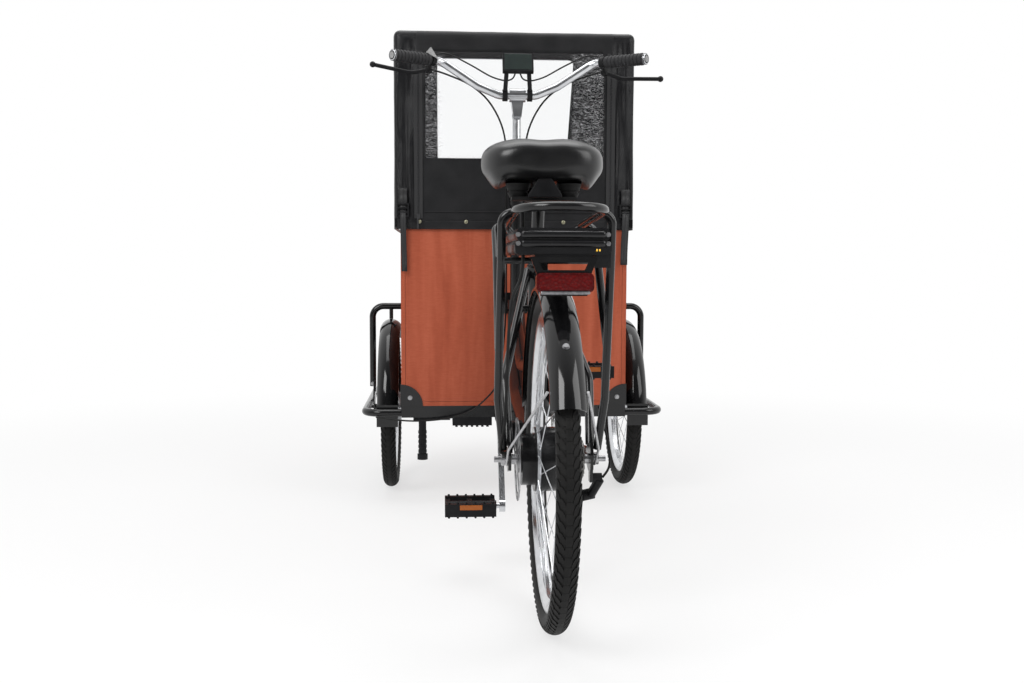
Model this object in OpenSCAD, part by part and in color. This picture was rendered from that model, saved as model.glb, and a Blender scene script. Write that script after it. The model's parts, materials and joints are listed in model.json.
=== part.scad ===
// Electric cargo trike: wooden box with rain tent between two front wheels,
// rear frame that turns about the upright steering column behind the box.
// Millimetres. X right, Y forward, Z up, ground at z = 0.

/* [Wheels] */
// Outer diameter of the front tyres
front_d = 500; // [470:5:520]
// Width of the front tyres
front_w = 47; // [40:1:50]
// From the side of the box out to the middle of a front wheel
wheel_gap = 42; // [40:1:47]
// Outer diameter of the rear tyre
rear_d = 658; // [620:2:680]
// Width of the rear tyre
rear_w = 46; // [40:1:54]
// Number of spokes in a front wheel
front_spokes = 28; // [20:4:36]
// Number of spokes in the rear wheel
rear_spokes = 36; // [28:4:36]

/* [Layout] */
// From the steering column forward to the front axle
front_reach = 375; // [365:5:400]
// From the steering column back to the rear axle
rear_reach = 955; // [940:5:1010]
// From the steering column forward to the box
box_gap = 70; // [66:2:90]

/* [Box] */
// Height of the underside of the box
box_z = 293; // [285:1:305]
// Height of the box
box_h = 537; // [500:5:560]
// Length along the top edge
box_len = 790; // [760:5:840]
// Length along the floor
box_foot = 620; // [600:5:660]
// Thickness of the panels
panel_t = 12; // [9:1:15]
// Height of the bench above the floor
bench_h = 210; // [180:5:260]
// Depth of the bench
bench_len = 240; // [200:5:280]

/* [Tent] */
// Outer width of the tent
tent_w = 690; // [684:2:700]
// How far the tent stands out from the box on each side
tent_stand = 20; // [17:1:24]
// Height of the rear edge of the roof above ground
tent_top = 1357; // [1300:5:1400]
// Rise of the roof from its rear edge to its front edge
tent_rise = 48; // [20:2:70]
// Length of the roof
roof_len = 440; // [380:5:500]
// Height of the hem above ground
hem_z = 800; // [790:2:804]
// Width of the rear window
rear_pane_w = 508; // [440:4:540]
// Width of the front window
front_pane_w = 444; // [400:4:500]

/* [Steering] */
// Outer diameter of the column
column_d = 34; // [32:1:38]
// Height of the top of the column
column_top = 895; // [860:5:920]
// Height of the middle of the handlebar
bar_z = 1164; // [1140:2:1200]
// Rise of the handlebar to the grips
bar_rise = 90; // [60:2:110]
// Width over the handlebar ends
bar_w = 664; // [620:4:700]
// Diameter of the handlebar
bar_d = 22; // [20:1:24]

/* [Rear frame] */
// From the steering column back to the crank
crank_reach = 520; // [510:2:540]
// Height of the crank
crank_z = 302; // [295:1:312]
// Height of the top of the seat tube
seat_tube_top = 700; // [670:5:720]
// Height of the top of the saddle
saddle_top = 960; // [940:5:1000]
// Width of the saddle
saddle_w = 252; // [220:4:270]
// From the crank back to the middle of the saddle's seat
saddle_back = 265; // [250:5:285]
// From the middle of the saddle's seat forward to its nose
saddle_nose = 200; // [170:5:220]
// Length of a crank arm
crank_arm = 170; // [160:1:175]
// Turn of the left crank arm from straight down to the rear
crank_turn = 32; // [0:1:60]
// Diameter of the main tube
main_tube_d = 54; // [46:1:58]

/* [Rack] */
// Height of the tray under the battery
tray_z = 713; // [700:1:720]
// Width of the battery
battery_w = 166; // [150:2:172]
// Height of the battery
battery_h = 46; // [40:1:60]
// Length of the battery
battery_len = 370; // [340:5:376]
// Height of the rack tube above the tray
rack_rise = 70; // [62:1:80]
// Rise of the rack tube from its front to its rear hoop
hoop_rise = 20; // [0:1:30]
// Half width of the rack's rear hoop
rack_half = 78; // [74:1:84]

/* [Hidden] */
$fn = 48;
slip = 0.2;
run_fit = 0.06;
head_top = 570;
head_low = box_z + 3;
elbow_lap = 0.8;
elbow_step = 0.06;
axle_r = 5;
box_w = tent_w - 2 * tent_stand;
track = box_w + 2 * wheel_gap;
front_r = front_d / 2;
rear_r = rear_d / 2;
mud_gap = 26;
guard_r = 11;
loop_z = 272;
loop_y = 79;
loop_bend = 48;
loop_x = track / 2 + 64;
hoop_x = track / 2 + 58;
guard_top = front_d + mud_gap + 2;
hoop_z = guard_top + 40;
half = box_w / 2;
box_top = box_z + box_h;
front_slope = (box_len - box_foot) / box_h;
front_t = panel_t * sqrt(1 + front_slope * front_slope);
panel_slit = 0.8;
cloth_t = 4;
tent_x = tent_w / 2;
tent_y = box_gap - 8;
rail_x = tent_x - cloth_t - slip;
roof_y = tent_y + roof_len;
roof_z = tent_top + tent_rise;
// foot of the sloping tent front, which just clears the top edge of the box
hem_drop = (box_top - hem_z) / (roof_z - hem_z);
nose_y = (box_gap + box_len + 5 - hem_drop * roof_y) / (1 - hem_drop);
// length of the trike and the shift that centres it
rear_end = -rear_reach - rear_r;
mid_y = (nose_y + rear_end) / 2;
column_r = column_d / 2;
seat_lean = 0.306;
spindle_r = 9;
pedal_pin_r = 6;
rear_axle_r = 6;
axle_half = 108;
chain_x = 58;
ring_r = 76.9;
cog_r = 36.6;
drop_x = 76;

function unit(v) = v / norm(v);
function clip1(v) = max(-1, min(1, v));
function turn(p, i) = acos(clip1(unit(p[i] - p[i - 1]) * unit(p[i + 1] - p[i])));
function trim(p, i, bend) = i == 0 || i == len(p) - 1 ? 0 : bend * tan(turn(p, i) / 2);
function mirrored(p, s) = [for (q = p) [s * q.x, q.y, q.z]];

// straight round bar from a to b
module bar(a, b, r) {
    d = b - a;
    translate(a) rotate([0, acos(clip1(d.z / norm(d))), atan2(d.y, d.x)]) cylinder(h = norm(d), r = r);
}

// elbow of a bent tube at corner i of its path
module elbow(p, i, r, bend) {
    u = unit(p[i] - p[i - 1]);
    w = unit(cross(u, unit(p[i + 1] - p[i])));
    n = cross(w, u);
    c = p[i] - u * trim(p, i, bend) + n * bend;
    multmatrix([[-n.x, u.x, w.x, c.x], [-n.y, u.y, w.y, c.y], [-n.z, u.z, w.z, c.z], [0, 0, 0, 1]])
        rotate_extrude(angle = turn(p, i)) translate([bend, 0]) circle(r);
}

// tube bent along a path with one bend radius; the straights reach a little way into the elbows
module tube(p, r, bend) {
    n = len(p) - 1;
    for (i = [0 : n - 1]) {
        u = unit(p[i + 1] - p[i]);
        a = p[i] + u * (trim(p, i, bend) - (i > 0 ? elbow_lap : 0));
        b = p[i + 1] - u * (trim(p, i + 1, bend) - (i < n - 1 ? elbow_lap : 0));
        bar(a, b, r - elbow_step);
    }
    if (n > 1) for (i = [1 : n - 1]) elbow(p, i, r, bend);
}

// ring about the X axis from a drawing of radius and place along X
module turned() rotate([0, 90, 0]) rotate_extrude() children();

// plate in the YZ plane from x0 to x1
module plate_x(x0, x1) translate([x0, 0, 0])
    multmatrix([[0, 0, 1, 0], [1, 0, 0, 0], [0, 1, 0, 0], [0, 0, 0, 1]])
        linear_extrude(x1 - x0) children();

// plate in the XZ plane from y0 to y1
module plate_y(y0, y1) translate([0, y1, 0]) rotate([90, 0, 0]) linear_extrude(y1 - y0) children();

module block(a, b) translate(a) cube(b - a);
module disc_x(x0, x1, r) translate([x0, 0, 0]) rotate([0, 90, 0]) cylinder(h = x1 - x0, r = r);

module round_rect(w, h, r) {
    translate([-w / 2 + r, -h / 2]) square([w - 2 * r, h]);
    translate([-w / 2, -h / 2 + r]) square([w, h - 2 * r]);
    for (x = [-1, 1], y = [-1, 1]) translate([x * (w / 2 - r), y * (h / 2 - r)]) circle(r);
}

// Front of the machine
module chassis() color("#1a1b1d") {
    low = box_z - 34;
    lift = box_z - slip;
    difference() {
        union() {
            block([-half, box_gap, low], [half, box_gap + 34, lift]);
            block([-half, box_gap + box_foot - 40, low], [half, box_gap + box_foot - 8, lift]);
            block([-half, front_reach - 20, low], [half, front_reach + 20, lift]);
            for (s = [-1, 1]) {
                block([s > 0 ? half - 30 : -half, box_gap + 30, low],
                    [s > 0 ? half : 30 - half, box_gap + box_foot - 20, lift]);
                block([s > 0 ? half - 6 : -half, front_reach - 24, front_r - 20],
                    [s > 0 ? half : 6 - half, front_reach + 24, low + 2]);
            }
            block([-40, -6, low], [40, box_gap + 4, low + 28]);
            translate([0, 0, low]) cylinder(h = 28, r = 30);
        }
        translate([0, 0, low - 1]) cylinder(h = 40, r = column_r + slip);
    }
}

module steering_column() color("#161719") {
    translate([0, 0, box_z - 34]) cylinder(h = column_top - box_z + 34, r = column_r);
    translate([0, 0, head_top + 6]) cylinder(h = 26, r = column_r + 7);
    block([-16, 8, head_top + 8], [16, box_gap - 4, head_top + 30]);
    block([-60, box_gap - 4 - slip, head_top - 10], [60, box_gap - slip, head_top + 50]);
    translate([0, 0, column_top - 30]) cylinder(h = 30, r = column_r + 4);
}

module side_outline() polygon([
    [box_gap, box_z], [box_gap + box_foot, box_z], [box_gap + box_len, box_top], [box_gap, box_top]]);

module side_panel_left() color("#8e4428") plate_x(-half, panel_t - half) side_outline();
module side_panel_right() color("#8e4428") plate_x(half - panel_t, half) side_outline();

module floor_panel() color("#8e4428") {
    inner = half - panel_t - panel_slit;
    end = box_gap + box_foot - front_t - panel_slit;
    plate_x(-inner, inner) polygon([[box_gap, box_z], [end, box_z],
        [end + front_slope * panel_t, box_z + panel_t], [box_gap, box_z + panel_t]]);
}

module rear_panel() color("#8e4428") {
    inner = half - panel_t - panel_slit;
    block([-inner, box_gap, box_z + panel_t + panel_slit], [inner, box_gap + panel_t, box_top]);
}

module front_panel() color("#8e4428") {
    inner = half - panel_t - panel_slit;
    plate_x(-inner, inner) polygon([
        [box_gap + box_foot - front_t, box_z], [box_gap + box_foot, box_z],
        [box_gap + box_len, box_top], [box_gap + box_len - front_t, box_top]]);
}

module top_rail() color("#202124") {
    low = hem_z + 6;
    for (s = [-1, 1])
        block([s > 0 ? half + slip : -rail_x, tent_y + cloth_t + slip, low],
            [s > 0 ? rail_x : -half - slip, box_gap + box_len - 14, box_top]);
    block([-rail_x, tent_y + cloth_t + slip, low], [rail_x, box_gap - slip, box_top]);
}

module corner_plates() color("#141517") {
    for (s = [-1, 1]) {
        plate_y(box_gap - 2.6, box_gap - slip) intersection() {
            translate([s * half, box_z]) circle(62);
            translate([s > 0 ? half - 70 : -half, box_z]) square([70, 70]);
        }
        plate_x(s > 0 ? half + slip : -half - 2.6, s > 0 ? half + 2.6 : -half - slip) intersection() {
            translate([box_gap, box_z]) circle(62);
            translate([box_gap - 2.6, box_z]) square([70, 70]);
        }
        block([s > 0 ? half - 1 : -half - 2.6, box_gap - 2.6, box_z],
            [s > 0 ? half + 2.6 : 1 - half, box_gap - slip, box_z + 62]);
    }
}

module bench() color("#7d3b22") {
    inner = half - panel_t - slip;
    y0 = box_gap + panel_t + slip;
    z0 = box_z + panel_t + slip;
    block([-inner, y0, z0 + bench_h - panel_t], [inner, y0 + bench_len, z0 + bench_h]);
    block([-inner, y0 + bench_len - 30, z0], [inner, y0 + bench_len - 30 + panel_t, z0 + bench_h - 1]);
}

// Tube cradle round a front wheel with its axle, seen for the right side
module wheel_cradle() {
    far_y = front_reach + front_r + mud_gap + 24;
    tube([[half + slip, loop_y, loop_z], [loop_x, loop_y, loop_z],
        [loop_x, far_y, loop_z], [half + slip, far_y, loop_z]], guard_r, loop_bend);
    tube([[half + slip, front_reach, hoop_z], [hoop_x, front_reach, hoop_z],
        [hoop_x, front_reach, front_r + 66]], 10, 34);
    translate([0, front_reach, hoop_z]) disc_x(half + slip, half + 4, 24);
    bar([track / 2, front_reach, guard_top + 0.3], [track / 2, front_reach, hoop_z], 6);
    plate_x(hoop_x - 7, hoop_x - 2) polygon([
        [front_reach - 16, front_r - 16], [front_reach + 16, front_r - 16],
        [front_reach + 40, loop_z + 4], [front_reach + 12, front_r + 88],
        [front_reach - 12, front_r + 88], [front_reach - 40, loop_z + 4]]);
    block([hoop_x - 4, front_reach - 36, loop_z - 8], [loop_x - 4, front_reach + 36, loop_z + 8]);
    translate([0, front_reach, front_r]) {
        disc_x(half + slip, hoop_x + 8, axle_r);
        disc_x(half + slip, track / 2 - 32, 9);
        disc_x(track / 2 + 32, hoop_x - 5, 9);
    }
}
module wheel_guard_right() color("#17181a") wheel_cradle();
module wheel_guard_left() color("#17181a") mirror([1, 0, 0]) wheel_cradle();

// arched section of a mudguard: radius outside and place along the axle
module guard_section(r, w) intersection() {
    difference() {
        translate([r - w * 0.55, 0]) circle(w * 0.55);
        translate([r - w * 0.55, 0]) circle(w * 0.55 - 1.8);
    }
    translate([r - w * 0.4, -w / 2]) square([w, w]);
}

// arc about the X axis from angle a0 over a1 degrees, measured from rear upwards
module swept(a0, a1) rotate([0, 90, 0]) rotate([0, 0, -90 - a0 - a1]) rotate_extrude(angle = a1) children();

module front_guard() translate([track / 2, front_reach, front_r]) {
    swept(8, 122) guard_section(front_r + mud_gap + 2, 62);
    plate_x(-31, 31) polygon([[-front_r - mud_gap - 1.6, 42], [-front_r - mud_gap + 1, 42],
        [-front_r - mud_gap + 1, -22], [-front_r - mud_gap - 1.6, -22]]);
}
module front_mudguard_right() color("#0f1012") front_guard();
module front_mudguard_left() color("#0f1012") mirror([1, 0, 0]) front_guard();

// Rain tent
module hoop(y, z) {
    leg = half - panel_t - 6 - slip;
    wide = tent_x - cloth_t - 7;
    tube([[leg, y, box_top - 120], [leg, y, box_top + 12], [wide, y, box_top + 60],
        [wide, y, z], [-wide, y, z], [-wide, y, box_top + 60],
        [-leg, y, box_top + 12], [-leg, y, box_top - 120]], 6, 30);
}
module tent_poles() color("#b9bdc2") {
    hoop(tent_y + cloth_t + 22, tent_top - cloth_t - 8);
    hoop(roof_y - 14, roof_z - cloth_t - 12);
}

module tent_side_outline(inset) polygon([
    [tent_y + inset, hem_z + inset * 2], [nose_y - inset * 1.6 - inset * 1.2, hem_z + inset * 2],
    [roof_y - inset * 0.6, roof_z - inset], [tent_y + inset, tent_top - inset]]);

module tent_side() difference() {
    plate_x(tent_x - cloth_t, tent_x) tent_side_outline(0);
    plate_x(tent_x - cloth_t - 1, tent_x + 1) tent_side_outline(70);
}
module tent_side_right() color("#1c1d20") tent_side();
module tent_side_left() color("#1c1d20") mirror([1, 0, 0]) tent_side();

module tent_roof() color("#1c1d20") {
    inner = tent_x - cloth_t - slip;
    plate_x(-inner, inner) polygon([[tent_y, tent_top], [roof_y, roof_z],
        [roof_y, roof_z - cloth_t], [tent_y, tent_top - cloth_t]]);
}

// front of the tent laid flat, from the roof edge down to the hem
front_run = norm([nose_y - roof_y, roof_z - hem_z]);
front_tilt = atan2(roof_z - hem_z, nose_y - roof_y);
module on_front() translate([0, roof_y, roof_z]) rotate([90 - front_tilt, 0, 0])
    translate([0, -cloth_t, -front_run / 2]) children();
module tent_front() color("#1c1d20") {
    inner = tent_x - cloth_t - slip;
    deep = cloth_t / sin(front_tilt);
    difference() {
        plate_x(-inner, inner) polygon([[roof_y + slip, roof_z], [nose_y, hem_z], [nose_y - deep, hem_z],
            [roof_y + slip, roof_z - deep * tan(front_tilt)]]);
        on_front() plate_y(-6, cloth_t + 6) translate([0, 40]) round_rect(front_pane_w, front_run - 210, 40);
    }
}

rear_pane_z0 = 1000;
rear_pane_z1 = tent_top - 60;
module rear_pane(grow) translate([0, (rear_pane_z0 + rear_pane_z1) / 2])
    round_rect(rear_pane_w + 2 * grow, rear_pane_z1 - rear_pane_z0 + 2 * grow, 8);
module tent_rear() color("#1c1d20") {
    inner = tent_x - cloth_t - slip;
    difference() {
        block([-inner, tent_y, hem_z], [inner, tent_y + cloth_t, tent_top - cloth_t - slip]);
        plate_y(tent_y - 1, tent_y + cloth_t + 1) rear_pane(0);
    }
}

module tent_windows() color("#dfe6ea", 0.4) {
    plate_y(tent_y + 1.2, tent_y + 2.8) rear_pane(-slip);
    on_front() plate_y(1.2, 2.8) translate([0, 40])
        round_rect(front_pane_w - 0.4, front_run - 210.4, 40);
    for (s = [-1, 1])
        plate_x(s > 0 ? tent_x - 2.8 : 1.2 - tent_x, s > 0 ? tent_x - 1.2 : 2.8 - tent_x)
            tent_side_outline(70.2);
}

// Handlebar set
bar_y = -22;
grip_dir = unit([122, -101, -4.8]);
grip_run = 158.5;
bend_x = bar_w / 2 - 122;
bar_half = [[bend_x, bar_y, bar_z + bar_rise] + grip_run * grip_dir, [bend_x, bar_y, bar_z + bar_rise],
    [bend_x * 0.52, bar_y, bar_z + bar_rise * 0.27], [bend_x * 0.24, bar_y, bar_z]];
bar_path = concat(bar_half, [for (i = [3 : -1 : 0]) [-bar_half[i].x, bar_half[i].y, bar_half[i].z]]);
function grip_end(s) = [s * bar_half[0].x, bar_half[0].y, bar_half[0].z];
function grip_back(s) = [-s * grip_dir.x, -grip_dir.y, -grip_dir.z];
function lever_root(s) = grip_end(s) + grip_back(s) * 128;

stem_drop = 52;
module stem() color("#c4c7ca") {
    knee = bar_z - stem_drop;
    translate([0, 0, column_top + slip]) cylinder(h = knee - column_top, r = 11);
    translate([0, 0, column_top + slip]) cylinder(h = 14, r1 = 15, r2 = 12);
    translate([0, 13, knee]) rotate([90, 0, 0]) cylinder(h = 26, r = 13);
    difference() {
        union() {
            plate_y(bar_y - 10, 9) polygon([[-11, knee - 6], [11, knee - 6], [19, bar_z + 4], [-19, bar_z + 4]]);
            translate([0, bar_y, bar_z]) disc_x(-22, 22, bar_d / 2 + 7);
        }
        translate([0, bar_y, bar_z]) disc_x(-40, 40, bar_d / 2 + slip);
    }
}

module handlebar() color("#c9ccd0") tube(bar_path, bar_d / 2, 40);

module grips() color("#141517") for (s = [-1, 1]) difference() {
    end = grip_end(s);
    back = grip_back(s);
    union() {
        bar(end - back * 6, end + back * 118, 15);
        for (k = [0 : 9]) bar(end + back * (4 + 11.4 * k), end + back * (10 + 11.4 * k), 16.4);
    }
    bar(end - back * slip, end + back * 130, bar_d / 2 + slip);
}

// brake levers on their clamps; the right one is set lower
lever_drop = [14, 42];
module hand_controls() color("#131416") for (s = [-1, 1]) {
    back = grip_back(s);
    root = lever_root(s);
    pivot = root + [s * 10, 34, -20];
    tip = root + [s * 160, 0, -lever_drop[s > 0 ? 1 : 0]];
    difference() {
        union() {
            bar(root - back * 6, root + back * 6, bar_d / 2 + 5);
            bar(root, pivot, 7);
            translate(pivot - [0, 0, 9]) cylinder(h = 18, r = 9.4);
            tube([pivot, pivot + [s * 48, 3, -4 - 0.3 * lever_drop[s > 0 ? 1 : 0]], tip], 5.5, 34);
            translate(tip) sphere(8.2);
        }
        bar(grip_end(s), grip_end(s) + back * 160, bar_d / 2 + slip);
    }
}

// smooth line through given points, with n steps between neighbours
function curve(a, b, c, d, t) = 0.5 * (2 * b + (c - a) * t + (2 * a - 5 * b + 4 * c - d) * t * t
    + (3 * b - a - 3 * c + d) * t * t * t);
function spline(p, n) = concat([for (i = [0 : len(p) - 2]) for (k = [0 : n - 1])
    curve(p[max(i - 1, 0)], p[i], p[i + 1], p[min(i + 2, len(p) - 1)], k / n)], [p[len(p) - 1]]);
// sides of the rings, carried along the line without twist
function carry(t, i, n, out) = i == len(t) ? out
    : let (m = unit(n - (n * t[i]) * t[i])) carry(t, i + 1, m, concat(out, [m]));

// cable of radius r with eight sides along a smooth line
module cable(p, r, n) {
    line = spline(p, n);
    m = len(line);
    along = [for (i = [0 : m - 1]) unit(line[min(i + 1, m - 1)] - line[max(i - 1, 0)])];
    out = carry(along, 0, [0.31, 0.87, 0.39], []);
    polyhedron([for (i = [0 : m - 1]) for (k = [0 : 7])
            line[i] + r * (cos(45 * k) * out[i] + sin(45 * k) * cross(along[i], out[i]))],
        concat([[for (k = [0 : 7]) k]], [[for (k = [7 : -1 : 0]) 8 * (m - 1) + k]],
            [for (i = [0 : m - 2]) for (k = [0 : 7]) let (a = 8 * i + k, b = 8 * i + (k + 1) % 8) each
                [[a, a + 8, b], [b, a + 8, b + 8]]]), 10);
}

// front brake cables from the levers down behind the box and out to the wheels
module brake_cables() color("#101113") for (s = [-1, 1]) {
    pivot = lever_root(s) + [s * 10, 34, -20];
    low = box_z - 47;
    cable(mirrored([[s * pivot.x - 10.3, pivot.y + 1, pivot.z], [s * pivot.x - 50, pivot.y + 12, pivot.z - 10],
        [130, 16, bar_z + 34], [78, 24, bar_z - 8], [42, 32, bar_z - 69], [27, 40, bar_z - 134],
        [25, 47, column_top + 55], [25, 48, column_top - 45], [25, 48, head_top + 130], [26, 48, head_top - 10],
        [36, 49, box_z + 147], [50, 50, box_z + 57], [50, 50, box_z + 7], [50, 54, box_z - 35],
        [50, box_gap + 5, low + 1], [50, box_gap + 60, low], [50, front_reach - 155, low],
        [70, front_reach - 85, low], [140, front_reach - 30, low], [230, front_reach - 4, low],
        [half - 20, front_reach, low], [half - 6.3, front_reach, low]], s), 2.6, 4);
}

module display() color("#17181a") {
    z = bar_z + 84;
    translate([0, bar_y - 20, z]) rotate([-20, 0, 0]) block([-42, -8, -28], [42, 8, 28]);
    for (s = [-1, 1]) difference() {
        union() {
            translate([0, bar_y, bar_z]) disc_x(s * 34 - 7, s * 34 + 7, bar_d / 2 + 5);
            bar([s * 34, bar_y - 10, bar_z + 10], [s * 30, bar_y - 18, z - 14], 6);
        }
        translate([0, bar_y, bar_z]) disc_x(s * 34 - 20, s * 34 + 20, bar_d / 2 + slip);
    }
}

module controller_box() color("#15161a")
    {
    top = box_z - 34 - slip;
    block([-178, box_gap + 2, top - 24], [-64, box_gap + 110, top]);
    for (k = [0 : 6]) block([-170 + 15 * k, box_gap + 8, top - 29], [-163 + 15 * k, box_gap + 104, top - 23]);
}

lever_len = 118;
module parking_lever() color("#15161a") {
    top = box_z - 34 - slip;
    x = 60 - half;
    y = box_gap + 17;
    block([x - 26, y - 13, top - 8], [x + 80, y + 13, top]);
    bar([x, y, top - 6], [x, y, top - lever_len], 11);
    for (k = [0 : 4]) bar([x, y, top - 40 - 14 * k], [x, y, top - 48 - 14 * k], 12.4);
    bar([x, y, top - lever_len - 6], [x, y, top - lever_len + 10], 15);
}

lamp_h = 330;
lamp_gap = 18;
module headlamp() color("#d8dcdf") {
    y = box_gap + box_foot + front_slope * lamp_h;
    translate([0, y, box_z + lamp_h]) {
        translate([0, lamp_gap, 0]) rotate([-90, 0, 0]) cylinder(h = 30, r = 32);
        plate_x(-14, 14) polygon([[slip - 14 * front_slope, -14], [lamp_gap + 1, -14],
            [lamp_gap + 1, 14], [slip + 14 * front_slope, 14]]);
    }
}

// Wheels, each drawn about its own axle
module tyre(r, w) turned() intersection() {
    translate([r - w / 2, 0]) circle(w / 2);
    translate([r - w * 0.86 + slip, -w]) square([w, 2 * w]);
}

module rim(r, w) turned() {
    t = r - w * 0.86;
    polygon([[t, -13], [t, 13], [t - 4, 14], [t - 12, 13], [t - 26, 6],
        [t - 26, -6], [t - 12, -13], [t - 4, -14]]);
}

module spokes(n, flange_x, flange_r, rim_r, cross_a) for (i = [0 : n - 1]) {
    s = i % 2 == 0 ? 1 : -1;
    lean = floor(i / 2) % 2 == 0 ? 1 : -1;
    a = i * 360 / n;
    b = a + lean * cross_a;
    bar([s * flange_x + lean * 1.7, flange_r * cos(b), flange_r * sin(b)],
        [s * 4 + lean * 1.7, rim_r * cos(a), rim_r * sin(a)], 1.1);
}

module front_hub_wheel() difference() {
    union() {
        rim(front_r, front_w);
        spokes(front_spokes, 22, 30, front_r - front_w * 0.86 - 22, 60);
        disc_x(-31, 31, 16);
        for (s = [-1, 1]) disc_x(s * 22 - 3.4, s * 22 + 3.4, 33);
        disc_x(-31, -20, 46);
    }
    disc_x(-40, 40, axle_r + run_fit);
}
module on_front_axle(s) translate([s * track / 2, front_reach, front_r]) children();
module front_tyre_left() color("#1b1c1d") on_front_axle(-1) tyre(front_r, front_w);
module front_tyre_right() color("#1b1c1d") on_front_axle(1) tyre(front_r, front_w);
module front_wheel_left() color("#c3c6c9") on_front_axle(-1) mirror([1, 0, 0]) front_hub_wheel();
module front_wheel_right() color("#c3c6c9") on_front_axle(1) front_hub_wheel();

// Rear of the machine
module on_rear_axle() translate([0, -rear_reach, rear_r]) children();
function seat_at(z) = [0, -crank_reach - seat_lean * (z - crank_z), z];

module main_frame() color("#15161a") difference() {
    union() {
        translate([0, 0, head_low]) cylinder(h = head_top - head_low, r = column_r + 7);
        tube([[0, -8, head_top - 140], [0, -190, head_top - 220], [0, -crank_reach, crank_z]], main_tube_d / 2, 180);
        tube([[0, -8, head_top - 35], [0, -250, head_top - 130], seat_at(head_top - 100)], 17, 160);
        bar(seat_at(crank_z), seat_at(seat_tube_top), 17);
        bar(seat_at(seat_tube_top - 22), seat_at(seat_tube_top), 21);
        translate([0, -crank_reach, crank_z]) disc_x(-36, 36, 31);
    }
    translate([0, 0, head_low - 1]) cylinder(h = head_top - head_low + 2, r = column_r + run_fit);
    translate([0, -crank_reach, crank_z]) disc_x(-60, 60, spindle_r + run_fit);
    bar(seat_at(seat_tube_top - 130), seat_at(seat_tube_top + 20), 13.8);
}

stay_path = [[30, -crank_reach - 24, crank_z], [46, -crank_reach - 130, crank_z + 3],
    [84, -rear_reach + 105, rear_r - 2], [81, -rear_reach + 26, rear_r - 2]];
top_stay = [[18, -crank_reach - 118, 690], [84, -rear_reach + 70, rear_r + 150], [79, -rear_reach + 8, rear_r + 27]];
hub = [0, -rear_reach, rear_r];
bridge = top_stay[0] + (top_stay[1] - top_stay[0]) * 0.38;
rear_guard_r = rear_r + 20;
rear_guard_w = 61;
module rear_triangle() color("#15161a") difference() {
    union() {
        for (s = [-1, 1]) {
            tube(mirrored(stay_path, s), 9, 60);
            tube(mirrored(top_stay, s), 9, 60);
            plate_x(s > 0 ? drop_x : -drop_x - 6, s > 0 ? drop_x + 6 : -drop_x) polygon([
                [-rear_reach - 22, rear_r - 18], [-rear_reach + 10, rear_r - 26],
                [-rear_reach + 44, rear_r - 12], [-rear_reach + 44, rear_r + 10],
                [-rear_reach + 16, rear_r + 34], [-rear_reach - 16, rear_r + 34],
                [-rear_reach - 24, rear_r + 10]]);
        }
        plate_x(drop_x, drop_x + 6) polygon([[-rear_reach - 18, rear_r - 10], [-rear_reach + 6, rear_r - 10],
            [-rear_reach + 2, rear_r - 44], [-rear_reach - 16, rear_r - 44]]);
        bar([-bridge.x, bridge.y, bridge.z], bridge, 7);
        bar([0, bridge.y, bridge.z], hub + unit([0, bridge.y, bridge.z] - hub) * (rear_guard_r + 0.3), 7);
    }
    translate([0, -crank_reach, crank_z]) disc_x(-36.2, 36.2, 31.2);
    bar(seat_at(crank_z), seat_at(seat_tube_top + 10), 21.2);
    on_rear_axle() disc_x(-120, 120, rear_axle_r + slip);
}

module rear_axle() color("#2a2b2d") on_rear_axle() {
    disc_x(-axle_half, axle_half, rear_axle_r);
    for (s = [-1, 1]) {
        disc_x(s > 0 ? drop_x + 6 + slip : -drop_x - 18, s > 0 ? drop_x + 18 : -drop_x - 6 - slip, 12);
        disc_x(s > 0 ? 66 : -drop_x + slip, s > 0 ? drop_x - slip : -67, 10);
    }
}

saddle_y = -crank_reach - saddle_back;
clamp_z = saddle_top - 108;
module saddle_rail(s, r) bar([s * 24, saddle_y, saddle_top - 120], [s * 12, saddle_y + 150, saddle_top - 92], r);

module seat_post() color("#202124") difference() {
    union() {
        bar(seat_at(seat_tube_top - 120), seat_at(clamp_z), 13.6);
        translate(seat_at(clamp_z)) disc_x(-30, 30, 16);
    }
    for (s = [-1, 1]) saddle_rail(s, 4 + slip);
}

module saddle() color("#17181a") hull() {
    for (s = [-1, 1]) translate([s * (saddle_w / 2 - 58), saddle_y, saddle_top - 46])
        scale([58, 64, 46]) sphere(1, $fn = 24);
    translate([0, saddle_y + saddle_nose - 36, saddle_top - 40]) scale([28, 36, 30]) sphere(1, $fn = 20);
}

module saddle_springs() color("#101113") {
    z = saddle_top - 92.4;
    for (s = [-1, 1]) translate([s * 52, saddle_y - 10, z - 28]) {
        cylinder(h = 9, r1 = 17, r2 = 22);
        translate([0, 0, 8]) cylinder(h = 7, r = 19);
        translate([0, 0, 14]) cylinder(h = 14, r1 = 22, r2 = 26);
    }
    block([-66, saddle_y - 32, z - 34], [66, saddle_y + 12, z - 27]);
    for (s = [-1, 1]) saddle_rail(s, 4);
}

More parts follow.
